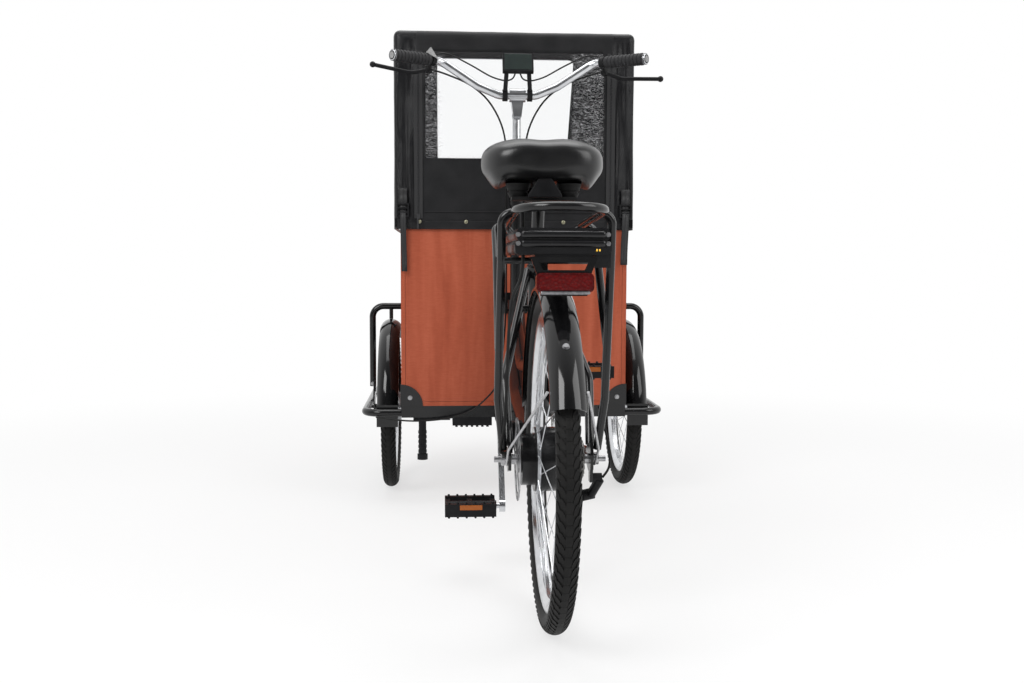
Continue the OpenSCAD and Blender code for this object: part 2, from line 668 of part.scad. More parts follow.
// Rack behind the saddle
stay_y = -rear_reach - 95;
rack_z = tray_z + rack_rise;
hoop_y = stay_y - 126;
rack_front = -rear_reach + 150;
rack_tube = [[60, rack_front + 45, rack_z - 20], [rack_half, rack_front, rack_z],
    [rack_half, hoop_y, rack_z + hoop_rise]];
stay_x = 100;
stay_join = rack_z + hoop_rise * (stay_y - 10 - rack_front) / (hoop_y - rack_front);
module rack() color("#17181a") difference() {
    union() {
        tube(concat(rack_tube, [for (i = [2 : -1 : 0]) [-rack_tube[i].x, rack_tube[i].y, rack_tube[i].z]]), 8, 70);
        for (s = [-1, 1]) {
            tube(mirrored([[drop_x + 15, -rear_reach - 6, rear_r + 20], [stay_x + 2, -rear_reach - 25, rear_r + 120],
                [stay_x, stay_y, tray_z], [stay_x, stay_y - 10, stay_join], [rack_half - 2, stay_y - 10, stay_join]], s), 8, 20);
            tube(mirrored([[rack_half - 2, rack_front - 10, rack_z], [stay_x, rack_front - 10, rack_z],
                [stay_x, -rear_reach + 70, tray_z], [stay_x + 2, -rear_reach - 50, rear_r + 215]], s), 8, 20);
        }
        bar([-60, rack_front + 45, rack_z - 20], [60, rack_front + 45, rack_z - 20], 8);
        bar([-stay_x, stay_y, tray_z - 2], [stay_x, stay_y, tray_z - 2], 6);
        bar([-stay_x, -rear_reach + 70, tray_z - 2], [stay_x, -rear_reach + 70, tray_z - 2], 6);
        block([-50, stay_y - 121, tray_z], [50, -rear_reach + 160, tray_z + 8]);
        block([-8, rack_front, tray_z - 33], [8, seat_at(tray_z - 30).y, tray_z - 27]);
        block([-8, rack_front - 10, tray_z - 33], [8, rack_front + 10, tray_z + 4]);
        plate_y(stay_y - 126, stay_y - 120) difference() {
            polygon([[-58, tray_z + 5], [58, tray_z + 5], [47, tray_z - 24], [40, tray_z - 62],
                [-40, tray_z - 62], [-47, tray_z - 24]]);
            polygon([[-42, tray_z - 5], [42, tray_z - 5], [36, tray_z - 18], [-36, tray_z - 18]]);
        }
    }
    bar(seat_at(crank_z), seat_at(seat_tube_top + 10), 21.2);
    plate_x(-200, 200) translate([-rear_reach, rear_r]) circle(6.5);
}

// battery case: deep lower shell, lid set in by the parting line, lock under its right end
module battery() color("#131416") {
    floor_z = tray_z + 8 + slip;
    mid = stay_y - 115 + battery_len / 2;
    low = battery_h * 0.52;
    translate([0, mid, floor_z + low / 2]) rotate([90, 0, 0])
        linear_extrude(battery_len, center = true) round_rect(battery_w, low, 9);
    translate([0, mid, floor_z + battery_h * 0.74]) rotate([90, 0, 0])
        linear_extrude(battery_len - 6, center = true) round_rect(battery_w - 5, battery_h * 0.52, 10);
    block([54, stay_y - 112, tray_z - 14], [82, stay_y - 60, floor_z + 6]);
}

module tail_light() color("#a01418")
    translate([0, stay_y - 126 - slip, tray_z - 39]) rotate([90, 0, 0]) {
        linear_extrude(20) round_rect(98, 33, 9);
        linear_extrude(27) round_rect(90, 25, 8);
    }

// lead from the battery down the left rack stay to the drop-out
module motor_cable() color("#101113") cable([[-66, stay_y - 70, tray_z + 7.6], [-66, stay_y - 70, tray_z - 8],
    [-70, stay_y - 60, tray_z - 36], [-82, stay_y - 26, tray_z - 72], [-86, stay_y + 12, rear_r + 240],
    [-87, -rear_reach - 50, rear_r + 150], [-90, -rear_reach - 46, rear_r + 80], [-96, -rear_reach - 36, rear_r + 40],
    [-97, -rear_reach - 22, rear_r + 19], [-90, -rear_reach - 19, rear_r + 16],
    [-drop_x - 6 - slip, -rear_reach - 19, rear_r + 16]], 3.2, 4);

module rear_mudguard() color("#0f1012") on_rear_axle()
    swept(24, 146) guard_section(rear_guard_r, rear_guard_w);

// half width of a mudguard of outer radius r and width w at a distance q from the axle
function guard_half(r, w, q) = sqrt(pow(w * 0.55, 2) - pow(q - r + w * 0.55, 2));
module mudguard_stays() color("#c3c6c9") for (s = [-1, 1]) {
    reach = rear_guard_r - 20;
    side = guard_half(rear_guard_r, rear_guard_w, reach) + 2.5 + 0.8;
    tube(mirrored([[drop_x + 8.5 + slip, -rear_reach - 16, rear_r - 8], [drop_x + 8.5, -rear_reach - 70, rear_r + 30],
        [side, -rear_reach - reach * cos(30), rear_r + reach * sin(30)]], s), 2.5, 20);
}

// chain run over ring, cog and the two pulleys: centre, radius and sense of turn
guide = [-rear_reach + 14, rear_r - 76];
tension = [-rear_reach + 40, rear_r - 134];
pulley_r = 22.5;
RUN = [[[-crank_reach, crank_z], ring_r, 1], [[-rear_reach, rear_r], cog_r, 1],
    [guide, pulley_r, -1], [tension, pulley_r, 1]];
function heading(i) = let (a = RUN[i % 4], b = RUN[(i + 1) % 4], d = b[0] - a[0])
    atan2(d.y, d.x) + asin((a[2] * a[1] - b[2] * b[1]) / norm(d));
function off(i, h) = let (a = RUN[i % 4]) a[0] + a[2] * a[1] * [sin(h), -cos(h)];

// the run as a line: arcs over the wheels and straights between them
pitch = 12.7;
function arc_of(i) = (RUN[i][2] * (heading(i) - heading(i + 3)) + 720) % 360;
function arc_len(i) = RUN[i][1] * arc_of(i) * PI / 180;
function straight(i) = norm(off(i + 1, heading(i)) - off(i, heading(i)));
run_len = arc_len(0) + straight(0) + arc_len(1) + straight(1) + arc_len(2) + straight(2) + arc_len(3) + straight(3);
function run_at(d, i = 0) = d < arc_len(i)
    ? let (t = heading(i + 3) + RUN[i][2] * arc_of(i) * d / arc_len(i)) [off(i, t), t]
    : d - arc_len(i) < straight(i) || i == 3
    ? let (t = heading(i)) [off(i, t) + (d - arc_len(i)) * [cos(t), sin(t)], t]
    : run_at(d - arc_len(i) - straight(i), i + 1);
links = 2 * round(run_len / pitch / 2);
// waisted side plates of the links, one band on each side of the sprockets
function edge(k, side) = let (q = run_at(run_len * k / (2 * links)))
    q[0] + side * (k % 2 == 0 ? 4.2 : 3) * [-sin(q[1]), cos(q[1])];
module chain_band(x0, x1) plate_x(x0, x1) {
    n = 2 * links;
    polygon([for (side = [1, -1]) for (k = [0 : n - 1]) edge(k, side)],
        [[for (k = [0 : n - 1]) k], [for (k = [0 : n - 1]) n + k]]);
}

module chain() color("#8b8d90") {
    for (s = [-1, 1]) chain_band(chain_x + (s > 0 ? 1.7 : -3), chain_x + (s > 0 ? 3 : -1.7));
    for (i = [0, 3]) {
        h = heading(i);
        n = floor(straight(i) / pitch);
        for (k = [3 : n - 3]) {
            c = off(i, h) + (off(i + 1, h) - off(i, h)) * k / n;
            translate([0, c.x, c.y]) disc_x(chain_x - 2, chain_x + 2, 2.6);
        }
    }
}

// toothed disc about the X axis, its teeth on the chain's pitch circle
function sprocket_r(n) = pitch / (2 * sin(180 / n));
module sprocket(x0, x1, n) plate_x(x0, x1) polygon([for (k = [0 : n - 1]) for (e = [[-0.32, -3.4],
    [-0.14, 2.4], [0.14, 2.4], [0.32, -3.4]]) (sprocket_r(n) + e[1]) * [cos((k + e[0]) * 360 / n), sin((k + e[0]) * 360 / n)]]);

module derailleur() color("#2a2b2e") {
    for (c = [guide, tension]) translate([0, c.x, c.y]) {
        sprocket(chain_x - 1, chain_x + 1, 11);
        disc_x(chain_x - 8, chain_x + 8, 5);
    }
    for (x = [chain_x - 8, chain_x + 5.5]) plate_x(x, x + 2.5) {
        for (c = [guide, tension]) translate(c) circle(13);
        translate(guide) rotate(atan2((tension - guide).y, (tension - guide).x)) translate([0, -9]) square([norm(tension - guide), 18]);
    }
    bar([chain_x + 7, guide.x, guide.y], [chain_x + 30, guide.x + 4, guide.y + 4], 11);
    for (k = [-1, 1]) bar([chain_x + 24, guide.x + 5 * k, guide.y + 2], [drop_x + 20, -rear_reach - 8 + 5 * k, rear_r - 40], 8);
    translate([0, -rear_reach - 8, rear_r - 36]) disc_x(drop_x + 6 + slip, drop_x + 24, 9);
}

module brake_caliper() color("#1c1d20") difference() {
    union() {
        block([-drop_x + slip, -rear_reach + 52, rear_r + 18], [-48, -rear_reach + 92, rear_r + 62]);
        block([-drop_x + slip, -rear_reach + 30, rear_r + 6], [-drop_x + 6, -rear_reach + 60, rear_r + 30]);
    }
    on_rear_axle() disc_x(-66.5, -59.5, 90);
    for (s = [-1, 1]) tube(mirrored(top_stay, s), 9.4, 60);
    tube(mirrored(stay_path, -1), 9.4, 60);
}

module rear_tyre() color("#1b1c1d") on_rear_axle() tyre(rear_r, rear_w);

module rear_wheel() color("#c3c6c9") on_rear_axle() difference() {
    union() {
        rim(rear_r, rear_w);
        spokes(rear_spokes, 26, 66, rear_r - rear_w * 0.86 - 22, 26);
        for (s = [-1, 1]) disc_x(s * 26 - 3.2, s * 26 + 3.2, 69);
    }
    disc_x(-60, 60, 62 + slip);
}

module hub_motor() color("#161719") on_rear_axle() difference() {
    union() {
        disc_x(-32, 32, 62);
        disc_x(-56, -30, 50);
        disc_x(-61.8, -50, 26);
        disc_x(30, 35.6, 40);
    }
    disc_x(-90, 90, rear_axle_r + run_fit);
}

module brake_disc() color("#b4b7ba") on_rear_axle() difference() {
    union() {
        difference() {
            disc_x(-64, -62, 80);
            disc_x(-65, -61, 66);
        }
        disc_x(-64, -62, 30);
        for (k = [0 : 5]) rotate([k * 60, 0, 0]) block([-64, 20, -5], [-62, 70, 5]);
    }
    disc_x(-70, -50, 13);
}

// place and number of teeth of each cog
COGS = [[38, 26], [43, 24], [48, 22], [53, 20], [58, 18], [63, 16]];
module cassette() color("#9a9c9f") on_rear_axle() difference() {
    union() {
        disc_x(36, 65, 22);
        for (c = COGS) sprocket(c[0] - 1, c[0] + 1, c[1]);
    }
    disc_x(30, 70, 11);
}

// Crank set and pedals
function crank_dir(s) = s * [sin(crank_turn), cos(crank_turn)];
module crankset() color("#b9bcc0") translate([0, -crank_reach, crank_z]) {
    disc_x(-66, 66, spindle_r);
    for (s = [-1, 1]) {
        e = crank_dir(s) * crank_arm;
        plate_x(s > 0 ? 66 : -79, s > 0 ? 79 : -66) {
            circle(17);
            translate(e) circle(14);
            rotate(atan2(e.y, e.x)) translate([0, -11]) square([crank_arm, 22]);
        }
        translate([0, e.x, e.y]) disc_x(s > 0 ? 70 : -196, s > 0 ? 196 : -70, pedal_pin_r);
    }
    difference() {
        sprocket(chain_x - 1, chain_x + 1, 38);
        for (k = [0 : 4]) rotate([k * 72, 0, 0]) translate([0, 46, 0]) disc_x(chain_x - 3, chain_x + 3, 13);
    }
    disc_x(chain_x, 67, 26);
}

module pedal(s) {
    e = crank_dir(s) * crank_arm;
    translate([0, -crank_reach + e.x, crank_z + e.y]) difference() {
        union() {
            disc_x(s > 0 ? 86 : -200, s > 0 ? 200 : -86, 12);
            for (k = [-1, 1]) block([s > 0 ? 88 : -202, k > 0 ? 34 : -48, -14], [s > 0 ? 202 : -88, k > 0 ? 48 : -34, 14]);
            for (x = [88, 140, 190]) block([s > 0 ? x : -x - 12, -40, -10], [s > 0 ? x + 12 : -x, 40, 10]);
        }
        disc_x(s > 0 ? 60 : -198, s > 0 ? 198 : -60, pedal_pin_r + run_fit);
    }
}
module pedal_left() color("#141517") pedal(-1);
module pedal_right() color("#141517") pedal(1);

translate([0, -mid_y, 0]) {
    chassis();
    steering_column();
    floor_panel();
    side_panel_left();
    side_panel_right();
    rear_panel();
    front_panel();
    top_rail();
    corner_plates();
    bench();
    wheel_guard_left();
    wheel_guard_right();
    front_mudguard_left();
    front_mudguard_right();
    tent_poles();
    tent_roof();
    tent_side_left();
    tent_side_right();
    tent_front();
    tent_rear();
    tent_windows();
    stem();
    handlebar();
    grips();
    hand_controls();
    brake_cables();
    display();
    controller_box();
    parking_lever();
    headlamp();
    front_tyre_left();
    front_wheel_left();
    front_tyre_right();
    front_wheel_right();
    main_frame();
    rear_triangle();
    rear_axle();
    seat_post();
    saddle();
    saddle_springs();
    rack();
    battery();
    tail_light();
    motor_cable();
    rear_mudguard();
    mudguard_stays();
    derailleur();
    chain();
    brake_caliper();
    rear_tyre();
    rear_wheel();
    hub_motor();
    brake_disc();
    cassette();
    crankset();
    pedal_left();
    pedal_right();
}
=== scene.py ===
# %% [markdown]
# # An electric cargo trike
# This lesson dresses the solid model of a cargo trike with a wooden box and a rain tent. The camera
# comes first, then the finishes and the light, then the soft pieces and the small trim that a solid
# model leaves plain.

# %% Load the solid model
import json
import math

import bmesh
import bpy
from mathutils import Matrix, Vector, noise
from mathutils.kdtree import KDTree


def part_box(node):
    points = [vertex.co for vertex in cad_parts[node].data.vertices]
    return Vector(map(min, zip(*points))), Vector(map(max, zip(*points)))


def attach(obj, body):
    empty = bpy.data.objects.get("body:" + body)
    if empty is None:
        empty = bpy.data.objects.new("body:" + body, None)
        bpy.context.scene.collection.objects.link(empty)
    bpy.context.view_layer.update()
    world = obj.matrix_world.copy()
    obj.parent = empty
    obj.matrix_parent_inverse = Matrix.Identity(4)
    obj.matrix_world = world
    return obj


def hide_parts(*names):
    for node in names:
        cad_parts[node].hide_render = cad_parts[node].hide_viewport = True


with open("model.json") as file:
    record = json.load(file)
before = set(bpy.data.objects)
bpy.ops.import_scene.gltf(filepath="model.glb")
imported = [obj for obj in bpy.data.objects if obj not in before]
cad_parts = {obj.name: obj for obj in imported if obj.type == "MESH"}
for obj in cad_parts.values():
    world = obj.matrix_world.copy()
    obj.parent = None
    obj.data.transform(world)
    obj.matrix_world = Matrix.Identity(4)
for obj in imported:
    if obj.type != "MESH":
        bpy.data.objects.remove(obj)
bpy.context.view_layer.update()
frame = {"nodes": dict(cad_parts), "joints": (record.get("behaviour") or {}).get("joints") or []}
scene = bpy.context.scene
print("solid pieces:", len(frame["nodes"]))

# %% [markdown]
# The model's origin lies under the middle of the trike. Many places are easier to give from the
# steering column, so `at` moves a point from the column's frame, in millimetres, to the model's.

# %% One shift from the column to the origin
column_y = next(j for j in frame["joints"] if j["name"] == "steering")["pos_m"][1]

def at(x, y, z):
    return Vector((x / 1000, y / 1000 + column_y, z / 1000))

print("column at y =", round(column_y, 4))

# %% [markdown]
# ## Camera
# The camera stands low behind the trike, a little to the left, and looks slightly down. Its axes are
# worked out from three turns, so each can be changed alone. The lens follows from the focal length
# in pixels of a picture that is 1024 pixels wide.

# %% Camera
yaw, pitch, roll = (math.radians(turn) for turn in (-3.77, 4.336, 0.174))
stand = at(-207, -2973, 710)
sensor_mm, focal_px, picture_w = 36, 1060, 1024
forward = Vector((-math.sin(yaw) * math.cos(pitch), math.cos(yaw) * math.cos(pitch), -math.sin(pitch)))
flat_right = Vector((math.cos(yaw), math.sin(yaw), 0))
flat_up = flat_right.cross(forward)
right = math.cos(roll) * flat_right + math.sin(roll) * flat_up
up = math.cos(roll) * flat_up - math.sin(roll) * flat_right
camera = bpy.data.objects.new("camera", bpy.data.cameras.new("camera"))
scene.collection.objects.link(camera)
aim = Matrix((right, up, -forward)).transposed().to_4x4()
camera.matrix_world = Matrix.Translation(stand) @ aim
camera.data.sensor_width = sensor_mm
camera.data.sensor_fit = "HORIZONTAL"
camera.data.lens = sensor_mm * focal_px / picture_w
scene.camera = camera
scene.view_settings.view_transform = "Standard"
print("lens", round(camera.data.lens, 2))

# %% [markdown]
# ## Finishes
# A finish is a small graph of shader nodes. It could be wired by hand in the shader editor, but these
# helpers repeat the same steps exactly: a texture on the object's own coordinates, so that nothing
# slides when a piece moves, a change of range, a colour ramp and a relief.

# %% Node helpers
def shade(m, kind, **values):
    n = m.node_tree.nodes.new("ShaderNode" + kind)
    for socket, value in values.items():
        n.inputs[socket].default_value = value
    return n

def link(m, a, b):
    m.node_tree.links.new(a, b)

def body(m):
    return m.node_tree.nodes["Principled BSDF"]

def place_node(m, stretch=(1, 1, 1), turn=(0, 0, 0)):
    where = shade(m, "TexCoord")
    mapping = shade(m, "Mapping", Scale=stretch, Rotation=turn)
    link(m, where.outputs["Object"], mapping.inputs["Vector"])
    return mapping.outputs["Vector"]

def texture(m, kind, where=None, **values):
    n = shade(m, "Tex" + kind, **values)
    link(m, place_node(m) if where is None else where, n.inputs["Vector"])
    return n

def span(m, value, start, end, low, high, curve="LINEAR"):
    n = shade(m, "MapRange")
    n.interpolation_type = curve
    for socket, number in zip(("From Min", "From Max", "To Min", "To Max"), (start, end, low, high)):
        n.inputs[socket].default_value = number
    link(m, value, n.inputs["Value"])
    return n.outputs["Result"]

def ramp(m, fac, stops):
    n = shade(m, "ValToRGB")
    for element, (place, color) in zip(n.color_ramp.elements, (stops[0], stops[-1])):
        element.position, element.color = place, (*color, 1)
    for place, color in stops[1:-1]:
        n.color_ramp.elements.new(place).color = (*color, 1)
    link(m, fac, n.inputs["Fac"])
    return n.outputs["Color"]

def relief(m, height, distance, strength):
    n = shade(m, "Bump", Distance=distance, Strength=strength)
    link(m, height, n.inputs["Height"])
    link(m, n.outputs["Normal"], body(m).inputs["Normal"])
    return n

print("node helpers ready")

# %% [markdown]
# `plain` makes a material from colour, gloss and metal. `grain` adds fine relief, and `mottle` varies
# colour and gloss a little over the surface, as handling and dust do. `paint` gives a finish to
# pieces of the solid model, whose shapes stay as they are.

# %% Material helpers
def plain(name, color, rough, metal=0.0, coat=0.0, gleam=0.5):
    m = bpy.data.materials.new(name)
    m.use_nodes = True
    sockets = body(m).inputs
    sockets["Base Color"].default_value = (*color, 1)
    sockets["Roughness"].default_value = rough
    sockets["Metallic"].default_value = metal
    sockets["Specular IOR Level"].default_value = gleam
    sockets["Coat Weight"].default_value = coat
    sockets["Coat Roughness"].default_value = 0.08
    return m

def grain(m, size, depth, stretch=(1, 1, 1)):
    dots = texture(m, "Noise", place_node(m, stretch), Scale=1 / size, Detail=3.0)
    relief(m, dots.outputs["Fac"], depth, 0.6)
    return m

def mottle(m, dark, light, size, rough=None):
    cloud = texture(m, "Noise", Scale=1 / size, Detail=5.0).outputs["Fac"]
    link(m, ramp(m, cloud, [(0.3, dark), (0.7, light)]), body(m).inputs["Base Color"])
    if rough:
        link(m, span(m, cloud, 0, 1, *rough), body(m).inputs["Roughness"])
    return m

def paint(material, *nodes):
    for n in nodes:
        slots = frame["nodes"][n].data.materials
        slots.clear()
        slots.append(material)

print("material helpers ready")

# %% [markdown]
# Frame tubes are stove-enamelled in satin black. Mudguards are glossy moulded plastic, and the
# handlebar, rims and tent poles are bare alloy with fine drawing marks. Noise in the shader carries
# these looks, because it needs no unwrapping and shows no seam.

# %% Metals
satin = grain(mottle(plain("satin black enamel", (0.005, 0.005, 0.006), 0.2, gleam=0.42),
                     (0.004, 0.004, 0.0045), (0.008, 0.008, 0.0085), 0.06, (0.12, 0.22)), 0.0016, 0.00003)
gloss = mottle(plain("gloss black moulding", (0.003, 0.003, 0.0035), 0.1, gleam=0.45),
               (0.003, 0.003, 0.0035), (0.005, 0.005, 0.0055), 0.08, (0.06, 0.14))
alloy = grain(mottle(plain("drawn alloy", (0.62, 0.63, 0.65), 0.22, metal=1.0),
                     (0.56, 0.57, 0.59), (0.7, 0.71, 0.73), 0.03, (0.14, 0.3)), 0.004, 0.00004, (1, 6, 6))
steel = mottle(plain("bright steel", (0.42, 0.42, 0.43), 0.28, metal=1.0),
               (0.34, 0.34, 0.35), (0.5, 0.5, 0.51), 0.012, (0.2, 0.4))
dark_steel = mottle(plain("oiled steel", (0.2, 0.2, 0.2), 0.32, metal=1.0),
                    (0.12, 0.12, 0.12), (0.3, 0.29, 0.28), 0.006, (0.22, 0.45))
paint(satin, "chassis", "steering_column", "corner_plates", "wheel_guard_left", "wheel_guard_right",
      "main_frame", "rear_triangle", "rack", "top_rail", "hub_motor", "seat_post")
paint(gloss, "front_mudguard_left", "front_mudguard_right", "rear_mudguard")
paint(alloy, "tent_poles", "stem", "handlebar", "crankset",
      "front_wheel_left", "front_wheel_right", "rear_wheel")
paint(steel, "rear_axle", "brake_disc", "mudguard_stays")
paint(dark_steel, "chain", "cassette")
print("metals done")

# %% [markdown]
# Moulded plastic shows a fine spark-eroded texture, and rubber is duller with a coarser skin. They
# differ only in gloss and in the size of the relief, so the same helpers make them all.

# %% Plastics and rubber
matte = grain(mottle(plain("matte black moulding", (0.008, 0.008, 0.009), 0.46, gleam=0.16),
                     (0.006, 0.006, 0.007), (0.012, 0.012, 0.013), 0.03, (0.34, 0.54)), 0.0009, 0.00012)
case = grain(mottle(plain("battery case", (0.005, 0.005, 0.006), 0.22, gleam=0.42),
                    (0.004, 0.004, 0.005), (0.008, 0.008, 0.009), 0.05, (0.18, 0.32)), 0.0012, 0.00005)
rubber = grain(mottle(plain("rubber", (0.009, 0.009, 0.009), 0.62, gleam=0.16),
                      (0.007, 0.007, 0.007), (0.013, 0.013, 0.013), 0.02, (0.54, 0.74)), 0.002, 0.0002)
grip_rubber = grain(mottle(plain("grip rubber", (0.02, 0.02, 0.022), 0.56, gleam=0.24),
                           (0.016, 0.016, 0.017), (0.028, 0.028, 0.03), 0.01, (0.5, 0.66)), 0.0014, 0.0002)
lead_skin = grain(mottle(plain("cable skin", (0.007, 0.007, 0.007), 0.36, gleam=0.2),
                         (0.006, 0.006, 0.006), (0.010, 0.010, 0.010), 0.02, (0.3, 0.44)), 0.001, 0.00005)
paint(matte, "hand_controls", "display", "controller_box", "parking_lever", "derailleur",
      "brake_caliper", "pedal_left", "pedal_right")
paint(case, "battery")
paint(rubber, "saddle_springs")
paint(grip_rubber, "grips")
paint(lead_skin, "brake_cables", "motor_cable")
print("plastics done")

# %% [markdown]
# The box is varnished plywood with a reddish-brown face. A noise stretched upright gives the broad
# figure, and a finer one stretched across it the short flecks of the veneer. The varnish has only a
# soft gleam. A picture of wood would have to be unwrapped and would repeat. `calc` adds a Math node.

# %% Wood
def calc(m, operation, *terms):
    n = shade(m, "Math")
    n.operation = operation
    for socket, term in zip(n.inputs, terms):
        if isinstance(term, (int, float)):
            socket.default_value = term
        else:
            link(m, term, socket)
    return n.outputs["Value"]

wood = plain("varnished plywood", (0.33, 0.07, 0.03), 0.42, gleam=0.2)
figure = texture(wood, "Noise", place_node(wood, (3.0, 3.0, 0.35)), Scale=9.0, Detail=6.0, Distortion=0.6)
flecks = texture(wood, "Noise", place_node(wood, (1.2, 1.2, 5.0)), Scale=60.0, Detail=4.0)
fleck_share = 0.35
tone = calc(wood, "MULTIPLY_ADD", flecks.outputs["Fac"], fleck_share, figure.outputs["Fac"])
stain = [(0.42, (0.285, 0.058, 0.027)), (0.66, (0.345, 0.075, 0.036)), (0.92, (0.41, 0.098, 0.05))]
link(wood, ramp(wood, tone, stain), body(wood).inputs["Base Color"])
relief(wood, flecks.outputs["Fac"], 0.0002, 0.35)
paint(wood, "floor_panel", "side_panel_left", "side_panel_right", "rear_panel", "front_panel", "bench")
print("wood done")

# %% [markdown]
# ## Stage
# The world is white to the camera and through glass, while the light on the trike stays at a plain
# level. Mirrors see a white backdrop ahead and a darker room behind the camera, as in a studio.

# %% World
world = bpy.data.worlds.new("studio")
scene.world = world
world.use_nodes = True
daylight, dark_room, white = 0.45, 0.12, 1.0
rays, heading, split = (shade(world, kind) for kind in ("LightPath", "TexCoord", "SeparateXYZ"))
seen = calc(world, "MAXIMUM", rays.outputs["Is Camera Ray"], rays.outputs["Is Transmission Ray"])
link(world, heading.outputs["Generated"], split.inputs["Vector"])
choice = shade(world, "Mix")
link(world, rays.outputs["Is Glossy Ray"], choice.inputs["Factor"])
link(world, span(world, seen, 0, 1, daylight, white), choice.inputs["A"])
link(world, span(world, split.outputs["Y"], -0.75, 0.1, dark_room, white), choice.inputs["B"])
backdrop = world.node_tree.nodes["Background"]
backdrop.inputs["Color"].default_value = (1, 1, 1, 1)
link(world, choice.outputs["Result"], backdrop.inputs["Strength"])
print("world ready")

# %% [markdown]
# Near the trike the floor keeps a part of its own shading, which holds the soft shadow. Further out
# it fades to plain white, so that no horizon shows. `mix_shaders` blends the two.

# %% Floor
def mix_shaders(m, share, first, second):
    n = shade(m, "MixShader")
    for term, socket in zip((share, first, second), n.inputs):
        link(m, term, socket)
    link(m, n.outputs["Shader"], m.node_tree.nodes["Material Output"].inputs["Surface"])

floor_mesh = bmesh.new()
bmesh.ops.create_grid(floor_mesh, x_segments=1, y_segments=1, size=14)
floor = bpy.data.objects.new("floor", bpy.data.meshes.new("floor"))
floor_mesh.to_mesh(floor.data)
floor_mesh.free()
scene.collection.objects.link(floor)
ground = plain("floor", (0.85, 0.85, 0.85), 0.7)
glow = shade(ground, "Emission", Color=(1, 1, 1, 1), Strength=1.0)
path, away = shade(ground, "LightPath"), shade(ground, "VectorMath")
away.operation = "LENGTH"
link(ground, place_node(ground), away.inputs[0])
fade_from, fade_to, near_share = 0.9, 3.4, 0.66
fade = span(ground, away.outputs["Value"], fade_from, fade_to, near_share, white, "SMOOTHSTEP")
shown = calc(ground, "MAXIMUM", path.outputs["Is Camera Ray"], path.outputs["Is Glossy Ray"])
shown = calc(ground, "MAXIMUM", shown, path.outputs["Is Transmission Ray"])
mix_shaders(ground, calc(ground, "MULTIPLY", shown, fade),
            body(ground).outputs["BSDF"], glow.outputs["Emission"])
floor.data.materials.append(ground)
print("floor ready")

# %% [markdown]
# Three large soft lamps light the trike: a key from the left behind the camera, a weaker fill from
# the right, and one from above.

# %% Lamps
def lamp(name, place, target, size, watts):
    light = bpy.data.objects.new(name, bpy.data.lights.new(name, "AREA"))
    light.data.size = size
    light.data.energy = watts
    light.location = place
    light.rotation_euler = (Vector(target) - Vector(place)).to_track_quat("-Z", "Y").to_euler()
    scene.collection.objects.link(light)

lamp("key", (-2.6, -3.2, 3.4), (0, -0.2, 0.6), 2.2, 118)
lamp("fill", (3.0, -2.2, 2.6), (0, 0, 0.6), 2.4, 62)
lamp("top", (0, 0.4, 4.0), (0, 0, 0.5), 3.0, 70)
print("lamps ready")

# %% [markdown]
# ## Tent cloth
# The rain tent is one coated cloth skin pulled over two hoops. It could be five flat panels, but then
# every edge would be a knife edge. Here one outline is extruded across the box, its edges are rounded
# with a bevel, and planes cut it into small faces that can hold soft folds.

# %% Tent outline, rounded
def push(bm, faces, vec):
    grown = bmesh.ops.extrude_face_region(bm, geom=faces)["geom"]
    moved = [v for v in grown if isinstance(v, bmesh.types.BMVert)]
    bmesh.ops.translate(bm, vec=vec, verts=moved)
    return moved

side_lo, side_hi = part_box("tent_side_right")
roof_lo, roof_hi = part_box("tent_roof")
tent_x, hem_z, rear_y = side_hi.x, side_lo.z, side_lo.y
cloth_rise, edge_round, edge_steps = 0.004, 0.02, 4
roof_rear = Vector((0, rear_y, roof_lo.z + cloth_rise))
roof_front = Vector((0, roof_hi.y, side_hi.z))
nose = Vector((0, side_hi.y, hem_z))
tent = bmesh.new()
outline = [tent.verts.new(Vector((tent_x, 0, 0)) + p)
           for p in (Vector((0, rear_y, hem_z)), roof_rear, roof_front, nose)]
push(tent, [tent.faces.new(outline)], (-2 * tent_x, 0, 0))
under = [f for f in tent.faces if all(abs(v.co.z - hem_z) < 1e-6 for v in f.verts)]
bmesh.ops.delete(tent, geom=under, context="FACES")
bmesh.ops.recalc_face_normals(tent, faces=tent.faces[:])
middle = Vector((0, (rear_y + nose.y) / 2, 1))
if sum(f.normal.dot(f.calc_center_median() - middle) for f in tent.faces) < 0:
    bmesh.ops.reverse_faces(tent, faces=tent.faces[:])
bmesh.ops.bevel(tent, geom=[e for e in tent.edges if not e.is_boundary], offset=edge_round,
                segments=edge_steps, profile=0.5, affect="EDGES", material=-1, clamp_overlap=True)
print("tent outline:", len(tent.faces), "faces")

# %% [markdown]
# Folds need small faces. Planes along all three axes slice the skin, and the loose strips outside the
# zips, from `loose_x` outwards, get closer cuts for their narrow upright folds.

# %% Slice the skin
sides = {-1: "left", 1: "right"}

def everything(bm):
    return bm.verts[:] + bm.edges[:] + bm.faces[:]

def slice_skin(place, normal):
    bmesh.ops.bisect_plane(tent, geom=everything(tent), dist=1e-5, plane_co=place, plane_no=normal)

for axis, low, high, step in ((0, -tent_x, tent_x, 0.02), (1, rear_y, nose.y, 0.026),
                              (2, hem_z, roof_front.z, 0.022)):
    normal = Vector([1.0 if k == axis else 0.0 for k in range(3)])
    for k in range(1, int((high - low) / step)):
        slice_skin(normal * (low + k * step), normal)

loose_x, loose_step, loose_cuts = 0.279, 0.0056, 9
for k in range(loose_cuts):
    for s in sides:
        slice_skin((s * (loose_x + k * loose_step), 0, 0), (1, 0, 0))
print("sliced skin:", len(tent.faces), "faces")

# %% [markdown]
# The windows are cut from the same skin. A window is a convex outline: a plane through each of its
# edges splits the faces on that side of the tent. The faces inside all planes move to a second mesh,
# the clear film, so that film and cloth meet edge to edge. A Boolean could cut the holes, but it would
# leave no faces for the film.

